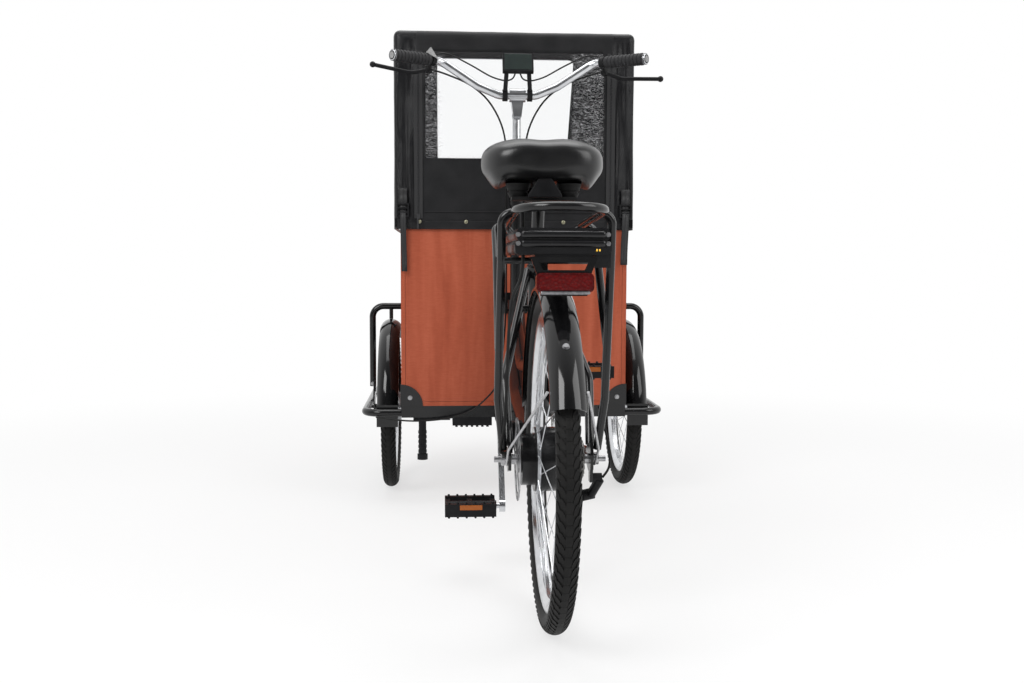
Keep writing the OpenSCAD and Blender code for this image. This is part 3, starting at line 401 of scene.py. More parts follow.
# %% Window helper
def rounded(corners, radius, steps=4):
    out = []
    for i, c in enumerate(corners):
        a, b = (corners[i - 1] - c).normalized(), (corners[(i + 1) % len(corners)] - c).normalized()
        centre = c + (a + b) * radius
        for k in range(steps + 1):
            turn = k / steps * math.pi / 2
            out.append(centre - b * radius * math.cos(turn) - a * radius * math.sin(turn))
    return out

panes = bmesh.new()
flat_enough = 0.98

def cut_window(bm, facing, corners):
    def panel():
        return [f for f in bm.faces if f.normal.dot(facing) > flat_enough]
    centre = sum(corners, Vector()) / len(corners)
    planes = [(a, facing.cross(b - a).normalized()) for a, b in zip(corners, corners[1:] + corners[:1])]
    planes = [(a, n if n.dot(centre - a) > 0 else -n) for a, n in planes]
    for a, n in planes:
        faces = panel()
        parts = {p for f in faces for p in (*f.verts, *f.edges)} | set(faces)
        bmesh.ops.bisect_plane(bm, geom=list(parts), dist=1e-5, plane_co=a, plane_no=n)
    inside = [f for f in panel() if all(n.dot(f.calc_center_median() - a) > 0 for a, n in planes)]
    for f in inside:
        panes.faces.new([panes.verts.new(v.co) for v in f.verts])
    bmesh.ops.delete(bm, geom=inside, context="FACES")

print("window helper ready")

# %% [markdown]
# The rear window is a wide rectangle high in the rear panel, and the front one fills most of the slope.
# Each side has a window that follows the slope of the front.

# %% Open the windows
pane_x, pane_low, pane_high = 0.254, 1.000, roof_rear.z - 0.060
rear_pane = [Vector((x, rear_y, z)) for x, z in
             ((-pane_x, pane_low), (pane_x, pane_low), (pane_x, pane_high), (-pane_x, pane_high))]
cut_window(tent, Vector((0, -1, 0)), rounded(rear_pane, 0.008, 2))
down, run = (nose - roof_front).normalized(), (nose - roof_front).length
facing = Vector((1, 0, 0)).cross(down).normalized()
facing = facing if facing.y > 0 else -facing
front_x, front_top, front_low = 0.222, 0.046, run - 0.145
front_pane = [roof_front + Vector((x, 0, 0)) + down * d for x, d in
              ((-front_x, front_top), (front_x, front_top), (front_x, front_low), (-front_x, front_low))]
cut_window(tent, facing, rounded(front_pane, 0.02))
inset = 0.07
side_pane = [(rear_y + inset, hem_z + 2 * inset), (nose.y - 2.8 * inset, hem_z + 2 * inset),
             (roof_front.y - 0.6 * inset, roof_front.z - inset), (rear_y + inset, roof_rear.z - inset)]
for s in sides:
    cut_window(tent, Vector((s, 0, 0)), [Vector((s * tent_x, y, z)) for y, z in side_pane])
print("tent skin:", len(tent.faces), "faces")

# %% [markdown]
# Stretched cloth still bags a little. The folds come from smooth noise along each face's normal: broad
# and shallow over the panels, and upright and deeper in the loose strips. The roof sags between its
# hoops. Folds fade out towards hems and windows, where the cloth is held by its seams.

# %% Folds
def clamp(value):
    return min(1.0, max(0.0, value))

bag, crinkle, side_bag, roof_sag = 0.0011, 0.0005, 0.0018, 0.0035
strip_fade, strip_fold, strip_crumple, strip_drop = 0.012, 0.0098, 0.003, 0.0032

def fold_depth(p):
    depth = bag * noise.noise(p * 6) + crinkle * noise.noise(p * 21)
    strip = clamp((abs(p.x) - loose_x) / strip_fade)
    if abs(p.y - rear_y) < 0.004 and strip > 0 and p.z < roof_rear.z - 0.03:
        upright = noise.noise(Vector((p.x * 62, p.y * 62, p.z * 5)))
        crumple = noise.noise(Vector((p.x * 34, 7, p.z * 13)))
        depth += strip * (strip_fold * upright + strip_crumple * crumple - strip_drop)
    if abs(p.x) > tent_x - 0.004:
        depth += side_bag * noise.noise(Vector((p.y * 8, p.z * 5, 3)))
    if p.z > roof_rear.z - 0.01 and abs(p.x) < tent_x - 0.03:
        along = clamp((p.y - rear_y) / (roof_front.y - rear_y))
        depth -= roof_sag * math.cos(p.x / tent_x * math.pi / 2) * math.sin(math.pi * along)
    return depth

def calm_edges(bm, reach):
    held = [v for v in bm.verts if v.is_boundary]
    tree = KDTree(len(held))
    for i, v in enumerate(held):
        tree.insert(v.co, i)
    tree.balance()
    return {v: min(1.0, tree.find(v.co)[2] / reach) for v in bm.verts}

seam_reach, hem_drop, panel_drop = 0.03, 0.0014, 0.001
tent.normal_update()
calm = calm_edges(tent, seam_reach)
for v in tent.verts:
    v.co += v.normal * (-hem_drop + calm[v] * (fold_depth(v.co) - panel_drop))
cloth_area = sum(f.calc_area() for f in tent.faces)
print("folded cloth:", round(cloth_area, 2), "square metres")

# %% [markdown]
# `piece` turns a finished bmesh into an object, gives it a finish and lets it ride on a body of the
# model, so that it turns when that body turns. `thicken` gives a sheet its wall as a modifier, which
# leaves the mesh itself a single layer that is easy to measure.

# %% Piece helpers
def piece(name, bm, material, rider, smooth=True):
    mesh = bpy.data.meshes.new(name)
    bm.to_mesh(mesh)
    bm.free()
    mesh.materials.append(material)
    mesh.polygons.foreach_set("use_smooth", [smooth] * len(mesh.polygons))
    obj = bpy.data.objects.new(name, mesh)
    scene.collection.objects.link(obj)
    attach(obj, rider)
    return obj

def thicken(obj, thickness, offset):
    wall = obj.modifiers.new("thickness", "SOLIDIFY")
    wall.thickness, wall.offset = thickness, offset

print("piece helpers ready")

# %% [markdown]
# Coated cloth shows its weave as fine crossed ribs, under soft creases. The coating shines more in the
# loose strips, so the roughness drops past `loose_x`.

# %% Tent skin
def axes(m):
    n = shade(m, "SeparateXYZ")
    link(m, place_node(m), n.inputs["Vector"])
    return n.outputs

cloth = mottle(plain("coated tent cloth", (0.009, 0.009, 0.01), 0.4, gleam=0.22),
               (0.007, 0.007, 0.008), (0.013, 0.013, 0.014), 0.05)
from_middle = calc(cloth, "ABSOLUTE", axes(cloth)["X"])
sheen = span(cloth, from_middle, loose_x - 0.004, loose_x + 0.004, 0.42, 0.17)
link(cloth, sheen, body(cloth).inputs["Roughness"])
weft, warp = (texture(cloth, "Wave", Scale=320.0) for k in range(2))
weft.bands_direction, warp.bands_direction = "Z", "X"
creases = texture(cloth, "Noise", Scale=26.0, Detail=6.0, Distortion=1.2)
threads = calc(cloth, "ADD", weft.outputs["Fac"], warp.outputs["Fac"])
fine = relief(cloth, threads, 0.00012, 0.5)
soft = relief(cloth, creases.outputs["Fac"], 0.0016, 0.28)
link(cloth, fine.outputs["Normal"], soft.inputs["Normal"])
skin = piece("tent_skin", tent, cloth, "front_frame")
thicken(skin, 0.0012, -1)
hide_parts("tent_roof", "tent_side_left", "tent_side_right", "tent_front", "tent_rear")
print("tent skin done")

# %% [markdown]
# The windows are soft clear vinyl. It is nearly invisible where it is flat, and shows by its gloss and
# by painted highlights: milky white streaks that stand in for glints off crumpled film, partly real haze
# of fine scuffs, seen against a dark background. The finish mixes a transparent shader with gloss by the
# angle of sight, and along both sides of the rear window with these painted white streaks by a scratchy
# noise.

# %% Clear film finish
film = plain("clear film", (0.95, 0.95, 0.97), 0.1)
# Painted highlights: where this scratchy noise is high the film turns milky white. The white stands in for
# glints off crumpled film and is partly real scuff haze.
scuff_glint_noise = texture(film, "Noise", place_node(film, (1.0, 1.0, 3.2), (0, 0.6, 0)),
                 Scale=70.0, Detail=9.0, Distortion=2.0)
milk_and_painted_glints = span(film, scuff_glint_noise.outputs["Fac"], 0.48, 0.74, 0.02, 0.3)
spot = axes(film)
glint_band_shift, rear_zone = 0.0225, rear_y + 0.05
off_middle = calc(film, "ABSOLUTE", calc(film, "ADD", spot["X"], glint_band_shift))
none, whole = (0, 0, 0), (1, 1, 1)
# The band along both sides of the rear window that holds the painted white glints.
glint_band = ramp(film, off_middle, [(0.176, none), (0.192, whole), (0.284, whole), (0.296, none)])
rear_only = calc(film, "LESS_THAN", spot["Y"], rear_zone)
haze_and_painted_glints = calc(film, "MULTIPLY", calc(film, "MULTIPLY", milk_and_painted_glints, glint_band), rear_only)
ripple = texture(film, "Noise", place_node(film, (1, 1.4, 0.6)), Scale=26.0, Detail=5.0, Distortion=1.4)
wave = relief(film, ripple.outputs["Fac"], 0.003, 0.1)
sight = shade(film, "Fresnel", IOR=1.3)
link(film, wave.outputs["Normal"], sight.inputs["Normal"])
clear = shade(film, "BsdfTransparent", Color=(0.993, 0.995, 0.996, 1))
mix_shaders(film, calc(film, "MAXIMUM", haze_and_painted_glints, sight.outputs["Fac"]),
            clear.outputs["BSDF"], body(film).outputs["BSDF"])
print("film finish done")

# %% [markdown]
# The film takes the faces that were cut out of the skin. It lies a little deeper than the cloth and is
# slightly wavy away from its seams.

# %% Clear film
film_drop, film_slack, film_wave = 0.0022, 0.0004, 0.0008
bmesh.ops.remove_doubles(panes, verts=panes.verts[:], dist=1e-6)
panes.normal_update()
calm = calm_edges(panes, seam_reach)
for v in panes.verts:
    v.co += v.normal * (-film_drop + calm[v] * (film_wave * noise.noise(v.co * 9) - film_slack))
film_area = sum(f.calc_area() for f in panes.faces)
windows = piece("tent_film", panes, film, "front_frame")
thicken(windows, 0.0005, -1)
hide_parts("tent_windows")
print("film:", round(film_area, 3), "square metres")

# %% [markdown]
# ## Saddle
# A broad city saddle is foam under a stretched cover. It starts as a sphere whose points are moved:
# wide and square behind, narrow at the nose, with a shallow trough along the top and two lobes that
# hang lower than the middle.

# %% Saddle cover
seat_lo, seat_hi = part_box("saddle")
seat_len, seat_half, seat_mid = seat_hi.y - seat_lo.y, seat_hi.x * 1.045, seat_hi.z - 0.050
nose_half, nose_low, nose_drop = 0.030, 0.026, 0.006
crown, crown_loss, trough, trough_w = 0.0565, 0.014, 0.0055, 0.03
belly, lobe, lobe_at, lobe_w = 0.0482, 0.024, 0.74, 0.12

def seat_point(sx, sy, sz):
    t = (sy + 1) / 2
    ring = max(1e-4, math.sqrt(max(0.0, 1 - sy * sy)))
    full = ring ** 0.42
    taper = clamp((t - 0.30) / 0.62)
    taper = taper * taper * (3 - 2 * taper)
    half = seat_half * (1 - taper) + nose_half * taper
    cx, cz = sx / ring, sz / ring
    x = half * full * math.copysign(abs(cx) ** (0.82 if cz >= 0 else 1.0), cx)
    if cz >= 0:
        z = (crown - crown_loss * taper) * full * cz ** 0.7
        z -= trough * math.exp(-(x / trough_w) ** 2) * full * cz
    else:
        hang = math.exp(-((abs(x) / seat_half - lobe_at) / lobe_w) ** 2)
        low = (belly + lobe * hang) * (1 - taper) + nose_low * taper
        z = -low * full * abs(cz) ** 0.7
    return Vector((x, seat_lo.y + seat_len * t, seat_mid + z - nose_drop * taper))

seat = bmesh.new()
bmesh.ops.create_uvsphere(seat, u_segments=64, v_segments=40, radius=1)
for v in seat.verts:
    v.co = seat_point(v.co.x, v.co.z, v.co.y)
bmesh.ops.recalc_face_normals(seat, faces=seat.faces[:])
cover = grain(mottle(plain("saddle cover", (0.006, 0.006, 0.0065), 0.3, gleam=0.5),
                     (0.005, 0.005, 0.0055), (0.009, 0.009, 0.0095), 0.04, (0.24, 0.34)), 0.0016, 0.00016)
saddle = piece("saddle_cover", seat, cover, "rear_frame")
smooth_seat = saddle.modifiers.new("round", "SUBSURF")
smooth_seat.levels = smooth_seat.render_levels = 1
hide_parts("saddle")
print("saddle", [round(c, 3) for c in saddle.dimensions])

# %% [markdown]
# A small moulded keel closes the rear of the saddle's underside. A box would show square ends, so
# `plate` extrudes an outline and rounds all its edges with a bevel.

# %% Saddle keel
def round_edges(bm, edges, offset, segments):
    return bmesh.ops.bevel(bm, geom=edges, offset=offset, segments=segments, profile=0.5,
                           affect="EDGES", material=-1)

def plate(corners, depth, bevel, segments):
    bm = bmesh.new()
    push(bm, [bm.faces.new([bm.verts.new(c) for c in corners])], depth)
    bmesh.ops.recalc_face_normals(bm, faces=bm.faces[:])
    round_edges(bm, bm.edges[:], bevel, segments)
    return bm

keel = [at(x, -823, z) for x, z in
        ((-34, 838), (34, 838), (34, 844), (7, 886), (-7, 886), (-34, 844))]
piece("saddle_keel", plate(keel, (0, -0.012, 0), 0.002, 3), matte, "rear_frame",
      smooth=False)
print("keel done")

# %% [markdown]
# ## Tyres
# The solid tyres are smooth rings. Here the casing is spun a little smaller, and one length of tread
# is drawn and repeated round it: a middle band with wavy edges, and slanting leaves on both flanks.
# `lay_tread` bends a flat patch over the tyre's round section and spins it into a full row.

# %% Tread helper
tread_high = 0.003
spin_round = dict(cent=(0, 0, 0), axis=(1, 0, 0), dvec=(0, 0, 0))

def lay_tread(bm, verts, r, tube_r, count, lean, shift):
    patch = list({f for v in verts for f in v.link_faces})
    top = push(bm, patch, (0, 0, tread_high))
    made = list({v for f in patch if f.is_valid for v in f.verts} | set(top))
    for v in made:
        turn = math.radians(lean) + v.co.x / tube_r
        high = tube_r - tread_high + v.co.z
        v.co = Vector((high * math.sin(turn), v.co.y, r - tube_r + high * math.cos(turn)))
    bmesh.ops.rotate(bm, verts=made, cent=(0, 0, 0),
                     matrix=Matrix.Rotation(2 * math.pi * shift / count, 3, "X"))
    bmesh.ops.spin(bm, geom=list({f for v in made for f in v.link_faces}), **spin_round,
                   angle=2 * math.pi * (count - 1) / count, steps=count - 1, use_duplicate=True)

print("tread", tread_high, "m high")

# %% [markdown]
# A tyre is the casing with one row of bands and four rows of leaves, each row shifted along the
# tread. The casing's faces come first in the mesh and are shaded smooth, the tread's stay flat.

# %% Tyres
tyre_rubber = grain(mottle(plain("tyre rubber", (0.010, 0.010, 0.010), 0.6, gleam=0.14),
                           (0.008, 0.008, 0.008), (0.016, 0.0155, 0.015), 0.04, (0.5, 0.72)), 0.0022, 0.0002)
tube_steps, round_steps, casing_drop = 28, 120, 0.0018
band_w, band_wave, leaf_slant = 0.0125, 0.0026, 0.42
leaf_rows = ((30, 0.0046, 0.25), (-30, 0.0046, 0.75), (58, 0.0042, 0.6), (-58, 0.0042, 0.1))

def make_tyre(node, rider, count):
    lo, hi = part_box(node)
    centre, r, tube_r = (lo + hi) / 2, (hi.z - lo.z) / 2, (hi.x - lo.x) / 2
    bm = bmesh.new()
    ring = bmesh.ops.create_circle(bm, segments=tube_steps, radius=tube_r - casing_drop)["verts"]
    bmesh.ops.rotate(bm, verts=ring, cent=(0, 0, 0), matrix=Matrix.Rotation(math.pi / 2, 3, "X"))
    bmesh.ops.translate(bm, verts=ring, vec=(0, 0, r - tube_r))
    bmesh.ops.spin(bm, geom=bm.verts[:] + bm.edges[:], **spin_round, angle=2 * math.pi,
                   steps=round_steps, use_merge=True)
    bmesh.ops.remove_doubles(bm, verts=bm.verts[:], dist=1e-6)
    bmesh.ops.recalc_face_normals(bm, faces=bm.faces[:])
    pitch = 2 * math.pi * r / count
    band = bmesh.ops.create_grid(bm, x_segments=4, y_segments=4, size=0.5)["verts"]
    for v in band:
        wide = band_w + band_wave * math.cos(2 * math.pi * v.co.y)
        v.co = Vector((v.co.x * wide, v.co.y * pitch * 0.97, 0))
    lay_tread(bm, band, r, tube_r, count, 0, 0)
    for lean, wide, shift in leaf_rows:
        leaf = bmesh.ops.create_circle(bm, cap_ends=True, segments=10, radius=1)["verts"]
        for v in leaf:
            v.co = Vector((v.co.x * wide, v.co.y * pitch * 0.52, 0))
            v.co.x += v.co.y * math.copysign(leaf_slant, lean)
        lay_tread(bm, leaf, r, tube_r, count, lean, shift)
    bmesh.ops.translate(bm, verts=bm.verts[:], vec=centre)
    tyre = piece(node + "_tread", bm, tyre_rubber, rider, smooth=False)
    for p in tyre.data.polygons[:tube_steps * round_steps]:
        p.use_smooth = True
    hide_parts(node)
    return tyre

for node, rider, count in (("rear_tyre", "rear_wheel", 104), ("front_tyre_left", "front_wheel_left", 80),
                           ("front_tyre_right", "front_wheel_right", 80)):
    print(node, len(make_tyre(node, rider, count).data.polygons), "faces")

# %% [markdown]
# ## Trim on the tent
# Two zips close the rear panel, a stitched hem with snap studs fastens it to the box, and webbing
# straps with slide buckles pull the corners down. Each lies on the cloth's outer face. Most of this
# trim is made of small boxes, which `box_at` scales, bevels, turns and moves into place.

# %% Box helper
def box_at(bm, centre, size, bevel=0.0, turn=None):
    made = bmesh.ops.create_cube(bm, size=1)["verts"]
    bmesh.ops.scale(bm, verts=made, vec=size)
    if bevel:
        done = round_edges(bm, list({e for v in made for e in v.link_edges}), bevel, 2)
        made = list({v for f in done["faces"] for v in f.verts} | {v for v in made if v.is_valid})
    if turn is not None:
        bmesh.ops.rotate(bm, verts=made, cent=(0, 0, 0), matrix=turn)
    bmesh.ops.translate(bm, verts=made, vec=centre)
    return made

print("box helper ready")

# %% [markdown]
# A zip is two strips of tape, a row of small teeth and a slider with its pull. The teeth could be a
# relief in the finish, but as real boxes they still catch the light from close by.

# %% Zips
zip_black = grain(plain("zip tape", (0.012, 0.012, 0.013), 0.6), 0.0008, 0.0001)
zip_teeth = plain("zip teeth", (0.03, 0.03, 0.032), 0.28, coat=0.4)
tape, teeth = bmesh.new(), bmesh.new()
zip_x, zip_foot, tooth_pitch, tooth_stagger = 0.2735, 0.03, 0.0042, 0.0006
for s in sides:
    for edge in (-1, 1):
        box_at(tape, (s * zip_x + edge * 0.0068, rear_y - 0.0005, (hem_z + zip_foot + pane_high) / 2),
               (0.0105, 0.0012, pane_high - hem_z - zip_foot), 0.0004)
    for k in range(int((pane_high - hem_z - 0.034) / tooth_pitch)):
        tooth_x = s * zip_x + (tooth_stagger if k % 2 else -tooth_stagger)
        box_at(teeth, (tooth_x, rear_y - 0.0008, hem_z + 0.033 + k * tooth_pitch), (0.0046, 0.0022, 0.0026))
    box_at(teeth, (s * zip_x, rear_y - 0.003, hem_z + 0.036), (0.009, 0.004, 0.014), 0.0012)
    box_at(teeth, (s * zip_x + s * 0.002, rear_y - 0.0042, hem_z + 0.016), (0.005, 0.0016, 0.030), 0.0006)
piece("zip_tapes", tape, zip_black, "front_frame", smooth=False)
piece("zip_teeth", teeth, zip_teeth, "front_frame", smooth=False)
print("zips done")

# %% [markdown]
# The hem is a doubled band stitched along both edges, with a narrow stitched seam above it. The studs
# are pressed brass domes, which `dome` makes from flattened spheres.

# %% Hem band, stitches and studs
def dome(bm, u, v, radius, squash, place=(0, 0, 0)):
    made = bmesh.ops.create_uvsphere(bm, u_segments=u, v_segments=v, radius=radius)["verts"]
    bmesh.ops.scale(bm, verts=made, vec=squash)
    bmesh.ops.translate(bm, verts=made, vec=place)

thread = plain("thread", (0.035, 0.035, 0.037), 0.6)
brass = mottle(plain("dull brass", (0.3, 0.29, 0.2), 0.4, metal=1.0),
               (0.24, 0.23, 0.16), (0.36, 0.35, 0.25), 0.004, (0.3, 0.5))
band, stitch, studs = bmesh.new(), bmesh.new(), bmesh.new()
hem_w, stitch_pitch = 2 * (zip_x - 0.016), 0.0048
box_at(band, (0, rear_y - 0.0004, hem_z + 0.0125), (hem_w, 0.0016, 0.024), 0.0006)
box_at(band, (0, rear_y - 0.0002, hem_z + 0.049), (hem_w, 0.0012, 0.003), 0.0005)
for z in (hem_z + 0.0225, hem_z + 0.0035, hem_z + 0.0505):
    for k in range(int(hem_w / stitch_pitch)):
        box_at(stitch, (-hem_w / 2 + 0.003 + k * stitch_pitch, rear_y - 0.0013, z), (0.0031, 0.0007, 0.0006))
for x in (-0.271, -0.139, 0.139, 0.271):
    dome(studs, 20, 10, 0.0058, (1, 0.42, 1), (x, rear_y - 0.0012, hem_z + 0.021))
piece("hem_band", band, cloth, "front_frame", smooth=False)
piece("hem_stitches", stitch, thread, "front_frame", smooth=False)
piece("studs", studs, brass, "front_frame")
print("hem done")

# %% [markdown]
# A strap is a thin strip of webbing. A curve could carry it, but a strip of faces can be measured as
# cloth. It starts as one edge that is extruded along its route, then gets a little thickness.

# %% Strap helper
webbing = grain(plain("webbing", (0.012, 0.012, 0.013), 0.5), 0.0011, 0.0002, (1, 1, 3))

def strap(name, line, width):
    bm = bmesh.new()
    edge = bm.edges.new([bm.verts.new(line[0] + Vector((k * width / 2, 0, 0))) for k in (-1, 1)])
    for a, b in zip(line, line[1:]):
        grown = bmesh.ops.extrude_edge_only(bm, edges=[edge])["geom"]
        edge = next(g for g in grown if isinstance(g, bmesh.types.BMEdge)
                    and all(v in grown for v in g.verts))
        bmesh.ops.translate(bm, verts=edge.verts[:], vec=b - a)
    bmesh.ops.recalc_face_normals(bm, faces=bm.faces[:])
    obj = piece(name, bm, webbing, "front_frame")
    thicken(obj, 0.0014, 0)

print("strap helper ready")

# %% [markdown]
# Each strap comes down to a slide buckle with four bars, and its spare end hangs free below it.

# %% Straps and buckles
buckle = bmesh.new()
strap_x, strap_y, strap_top, buckle_z = 0.318, rear_y - 0.0022, 0.915, 0.853
for s, tail, tail_w in ((-1, 0.680, 0.016), (1, 0.700, 0.020)):
    high = [Vector((s * strap_x, strap_y - 0.0012 * math.sin(k * 1.3),
                    strap_top - k * (strap_top - buckle_z) / 12)) for k in range(13)]
    strap("strap_" + sides[s], high, 0.025)
    drop = [Vector((s * (strap_x - 0.004 * k / 8), strap_y - 0.004 - 0.003 * math.sin(k * 0.8),
                    buckle_z - k * (buckle_z - tail) / 8)) for k in range(9)]
    strap("strap_end_" + sides[s], drop, tail_w)
    for z in (-0.017, -0.006, 0.006, 0.017):
        box_at(buckle, (s * strap_x, strap_y - 0.003, buckle_z + z), (0.034, 0.005, 0.0045), 0.0014)
    for k in (-1, 1):
        box_at(buckle, (s * strap_x + k * 0.0155, strap_y - 0.003, buckle_z), (0.0045, 0.006, 0.038), 0.0014)
piece("buckles", buckle, matte, "front_frame", smooth=False)
print("straps done")

# %% [markdown]
# ## Lamps
# The tail light is a red moulded lens with small prisms on its inner face, seen as a fine cell
# pattern, over a grey lip. As the prisms lie inside, a relief is enough for them.

# %% Tail light
red = plain("red lens", (0.1, 0.002, 0.002), 0.14, gleam=0.4)
prisms = texture(red, "Voronoi", Scale=190.0).outputs["Distance"]
relief(red, prisms, 0.0006, 0.16)
link(red, ramp(red, prisms, [(0.0, (0.13, 0.003, 0.003)), (0.6, (0.075, 0.001, 0.0015))]),
     body(red).inputs["Base Color"])
paint(red, "tail_light")
tail_lo, tail_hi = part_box("tail_light")
lip = bmesh.new()
box_at(lip, ((tail_lo.x + tail_hi.x) / 2, tail_lo.y + 0.0145, tail_lo.z - 0.0005),
       (0.084, 0.024, 0.006), 0.0024)
lip_grey = mottle(plain("lip grey", (0.16, 0.16, 0.17), 0.25, coat=0.5),
                  (0.12, 0.12, 0.13), (0.22, 0.22, 0.23), 0.01, (0.2, 0.34))
piece("tail_light_lip", lip, lip_grey, "rear_frame", smooth=False)
print("tail light done")

# %% [markdown]
# The front lamp has a low domed lens, bright and ribbed. It is the front half of a flattened sphere,
# cut off by a plane, so that it sits flat on the lamp's body.

# %% Front lamp
paint(gloss, "headlamp")
lamp_lo, lamp_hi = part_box("headlamp")
lamp_c = (lamp_lo + lamp_hi) / 2
glass = bmesh.new()
dome(glass, 36, 18, 0.0295, (1, 0.2, 1))
bmesh.ops.bisect_plane(glass, geom=everything(glass), dist=1e-6, plane_co=(0, 0, 0),
                       plane_no=(0, 1, 0), clear_inner=True)
bmesh.ops.translate(glass, verts=glass.verts[:], vec=(lamp_c.x, lamp_hi.y + 0.0002, lamp_c.z))
bright = plain("lamp lens", (0.8, 0.82, 0.84), 0.08, metal=0.6, coat=1.0)
relief(bright, texture(bright, "Wave", Scale=60.0).outputs["Fac"], 0.0006, 0.5)
piece("headlamp_lens", glass, bright, "front_frame")
print("front lamp done")

# %% [markdown]
# ## Small fittings
# `bolt` makes a hexagon head on a washer, pointing along any axis. The heads taper a little, so that
# their edges catch the light.

# %% Bolt helper
def cone(bm, segments, r, top_r, low, high):
    made = bmesh.ops.create_cone(bm, cap_ends=True, segments=segments,
                                 radius1=r, radius2=top_r, depth=high - low)["verts"]
    bmesh.ops.translate(bm, verts=made, vec=(0, 0, (low + high) / 2))
    return made

def bolt(bm, place, axis, size):
    made = cone(bm, 20, size * 1.25, size * 1.25 * 0.96, -0.0004, size * 0.22)
    made += cone(bm, 6, size, size * 0.96, size * 0.18, size * 0.95)
    turn = Vector((0, 0, 1)).rotation_difference(Vector(axis)).to_matrix()
    bmesh.ops.rotate(bm, verts=made, cent=(0, 0, 0), matrix=turn)
    bmesh.ops.translate(bm, verts=made, vec=place)

print("bolt helper ready")

# %% [markdown]
# Bolts sit on the corner plates, by the column, and on the wheel cradles and axle ends. Two padded rolls
# close the battery's rear face, each between two bolts, and one more bolt holds the rear mudguard. The
# bolts of a body share one mesh, which keeps the list of pieces short.

# %% Bolts and battery rolls
backward = (0, -1, 0)
front_bolts, rear_bolts, rolls = bmesh.new(), bmesh.new(), bmesh.new()
for s in sides:
    for x, y, z, size in ((300, 67.4, 317, 0.0055), (425, 365.2, 324, 0.0055),
                          (45, 65.8, 585, 0.006), (45, 65.8, 610, 0.006)):
        bolt(front_bolts, at(s * x, y, z), backward, size)
    bolt(front_bolts, at(s * 433, 375, 250), (s, 0, 0), 0.009)
battery_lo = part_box("battery")[0]
for z, lift in ((0.7556, 0.003), (0.7402, 0)):
    bar = box_at(rolls, (0, battery_lo.y + 0.0012, z), (0.146, 0.012, 0.0126))
    round_edges(rolls, list({e for v in bar for e in v.link_edges}), 0.0052, 5)
    for s in sides:
        bolt(rear_bolts, (s * 0.0775, battery_lo.y + lift, z), backward, 0.0034)
tyre_lo, tyre_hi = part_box("rear_tyre")
guard_gap, guard_turn = 0.0195, math.radians(43)
out = Vector((0, -math.cos(guard_turn), math.sin(guard_turn)))
bolt(rear_bolts, (tyre_lo + tyre_hi) / 2 + out * ((tyre_hi.z - tyre_lo.z) / 2 + guard_gap), out, 0.005)
piece("battery_rolls", rolls, case, "rear_frame")
piece("front_bolts", front_bolts, steel, "front_frame", smooth=False)
piece("rear_bolts", rear_bolts, steel, "rear_frame", smooth=False)
print("bolts done")

# %% [markdown]
# The grips end in a bright rim, a dark ring and a speckled plug, three short cones set into each other
# on the grip's own axis, so that each keeps its own finish. A light plate covers the gear shifter at
# the left grip.

# %% Grip ends and shifter plate
rims, rings, plugs = bmesh.new(), bmesh.new(), bmesh.new()
for s in sides:
    back = Vector((-s * 122, 101, 4.8)).normalized()
    tip = at(s * 332, -123, 1249.2) - back * 0.006
    turn = Vector((0, 0, 1)).rotation_difference(-back).to_matrix()
    for bm, r, low, high in ((rims, 0.0152, -0.003, 0.0014), (rings, 0.0128, -0.002, 0.0019),
                             (plugs, 0.0098, -0.001, 0.0023)):
        part = cone(bm, 32, r, r * 0.9, low, high)
        bmesh.ops.rotate(bm, verts=part, cent=(0, 0, 0), matrix=turn)
        bmesh.ops.translate(bm, verts=part, vec=tip)
speckle = mottle(plain("speckled plug", (0.3, 0.3, 0.3), 0.5),
                 (0.1, 0.1, 0.1), (0.5, 0.5, 0.5), 0.0012, (0.4, 0.6))
piece("grip_rims", rims, alloy, "front_frame", smooth=False)
piece("grip_rings", rings, matte, "front_frame", smooth=False)
piece("grip_plugs", plugs, speckle, "front_frame", smooth=False)
shifter = [at(x, -59, z) for x, z in ((-236, 1285), (-250, 1270), (-217, 1253))]
piece("shifter_plate", plate(shifter, (0, 0.006, 0), 0.001, 2), speckle, "front_frame",
      smooth=False)
print("grip ends done")

# %% [markdown]
# The display's screen is smoked glass with nothing shown, and two small charge lights sit on the
# battery's rear face.

# %% Screen and charge lights
screen = bmesh.new()
lean = Matrix.Rotation(math.radians(-20), 3, "X")
face = at(0, -42, 1248) + lean @ Vector((0, -0.0083, 0))
box_at(screen, face, (0.074, 0.0012, 0.048), 0.0005, lean)
smoke = mottle(plain("smoked screen", (0.012, 0.02, 0.018), 0.1, coat=1.0),
               (0.010, 0.016, 0.015), (0.016, 0.026, 0.023), 0.03, (0.06, 0.14))
piece("display_screen", screen, smoke, "front_frame", smooth=False)

lights = bmesh.new()
for x in (0.0575, 0.0625):
    dome(lights, 14, 8, 0.0017, (0.9, 0.5, 1.3), (x, battery_lo.y - 0.0002, battery_lo.z + 0.030))
amber = plain("amber light", (0.75, 0.42, 0.03), 0.25, coat=0.5)
body(amber).inputs["Emission Color"].default_value = (1.0, 0.6, 0.06, 1)
body(amber).inputs["Emission Strength"].default_value = 0.5
piece("charge_lights", lights, amber, "rear_frame")
print("screen and lights done")

# %% [markdown]
# Each pedal carries an orange reflector in its front and rear face, and studs along its edges. They
# are made for each pedal apart and ride on it, so they turn with it.

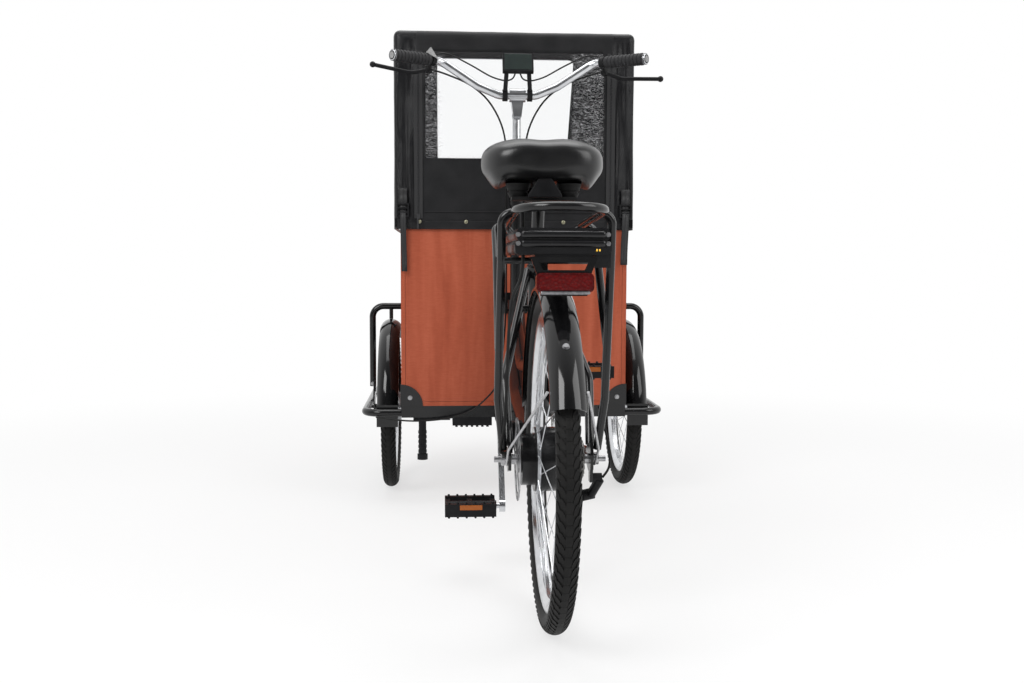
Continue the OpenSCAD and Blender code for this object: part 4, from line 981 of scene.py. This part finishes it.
# %% Pedal reflectors and studs
orange = plain("orange reflector", (0.34, 0.085, 0.006), 0.16, gleam=0.4)
relief(orange, texture(orange, "Voronoi", Scale=420.0).outputs["Distance"], 0.0005, 0.5)
stud_count, stud_pitch, stud_in, stud_out = 6, 0.0196, 0.007, 0.0012
upside_down = Matrix.Rotation(math.pi, 3, "X")
for name in ("pedal_left", "pedal_right"):
    lo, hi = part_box(name)
    centre = (lo + hi) / 2
    shine, pins = bmesh.new(), bmesh.new()
    for y, s in ((lo.y, -1), (hi.y, 1)):
        box_at(shine, (centre.x, y + s * 0.0002, centre.z + 0.007), (0.050, 0.0022, 0.011), 0.0008)
        for z, up_down in ((lo.z, -1), (hi.z, 1)):
            for k in range(stud_count):
                stud = cone(pins, 10, 0.0036, 0.0022, -0.003, 0.003)
                if up_down < 0:
                    bmesh.ops.rotate(pins, verts=stud, cent=(0, 0, 0), matrix=upside_down)
                bmesh.ops.translate(pins, verts=stud, vec=(centre.x + (k - 2.5) * stud_pitch,
                                                           y - s * stud_in, z + up_down * stud_out))
    piece(name + "_reflectors", shine, orange, name, smooth=False)
    piece(name + "_studs", pins, matte, name, smooth=False)
print("reflectors done")

# %% [markdown]
# ## Loose wires
# A cable could be a mesh tube, but a curve with a round bevel is shorter to write and easy to measure.
# `route` draws a smooth line through a few chosen points, and `lead` makes it a cable on one body. Two
# thin leads run over the bar to the display, a brake cable hangs under the rear beam of the box to the
# left wheel, and a gear cable bows out from a rack stay to the derailleur.

# %% Cable helpers
def route(points, steps=4):
    line = []
    for i in range(len(points) - 1):
        a, b, c, d = points[max(i - 1, 0)], points[i], points[i + 1], points[min(i + 2, len(points) - 1)]
        for k in range(steps):
            u = k / steps
            line.append((2 * b + (c - a) * u + (2 * a - 5 * b + 4 * c - d) * u * u
                         + (3 * b - a - 3 * c + d) * u ** 3) / 2)
    return line + [points[-1]]

def lead(name, points, radius, rider):
    curve = bpy.data.curves.new(name, "CURVE")
    curve.dimensions = "3D"
    curve.bevel_depth, curve.bevel_resolution = radius, 3
    line = route([at(*p) for p in points])
    spline = curve.splines.new("POLY")
    spline.points.add(len(line) - 1)
    for p, q in zip(spline.points, line):
        p.co = (*q, 1)
    curve.materials.append(lead_skin)
    obj = bpy.data.objects.new(name, curve)
    scene.collection.objects.link(obj)
    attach(obj, rider)

print("cable helpers ready")

# %% [markdown]
# The points of a cable are given from the column, in millimetres, from where it leaves the trike to
# where it goes back in.

# %% Leads and cables
lead_r, cable_r = 0.0021, 0.0024
over_the_bar = ((226, -38, 1268), (190, -30, 1272), (130, -26, 1245), (78, -28, 1216),
                (47, -30, 1205), (27, -32, 1203), (13, -34, 1209), (6, -36, 1224))
for s in sides:
    lead("display_lead_" + sides[s], [(s * x, y, z) for x, y, z in over_the_bar], lead_r, "front_frame")
lead("wheel_brake_cable", ((-42, 46, 400), (-45, 42, 372), (-62, 40, 340), (-95, 42, 305), (-128, 45, 279),
                           (-180, 48, 262), (-240, 50, 254), (-293, 53, 252), (-345, 60, 255),
                           (-398, 70, 261)), cable_r, "front_frame")
lead("gear_cable", ((93, -968, 432), (100, -964, 405), (110, -960, 372), (116, -960, 340),
                    (114, -962, 312), (101.5, -963, 293)), cable_r, "rear_frame")

# %% Finish
print("scene finished")
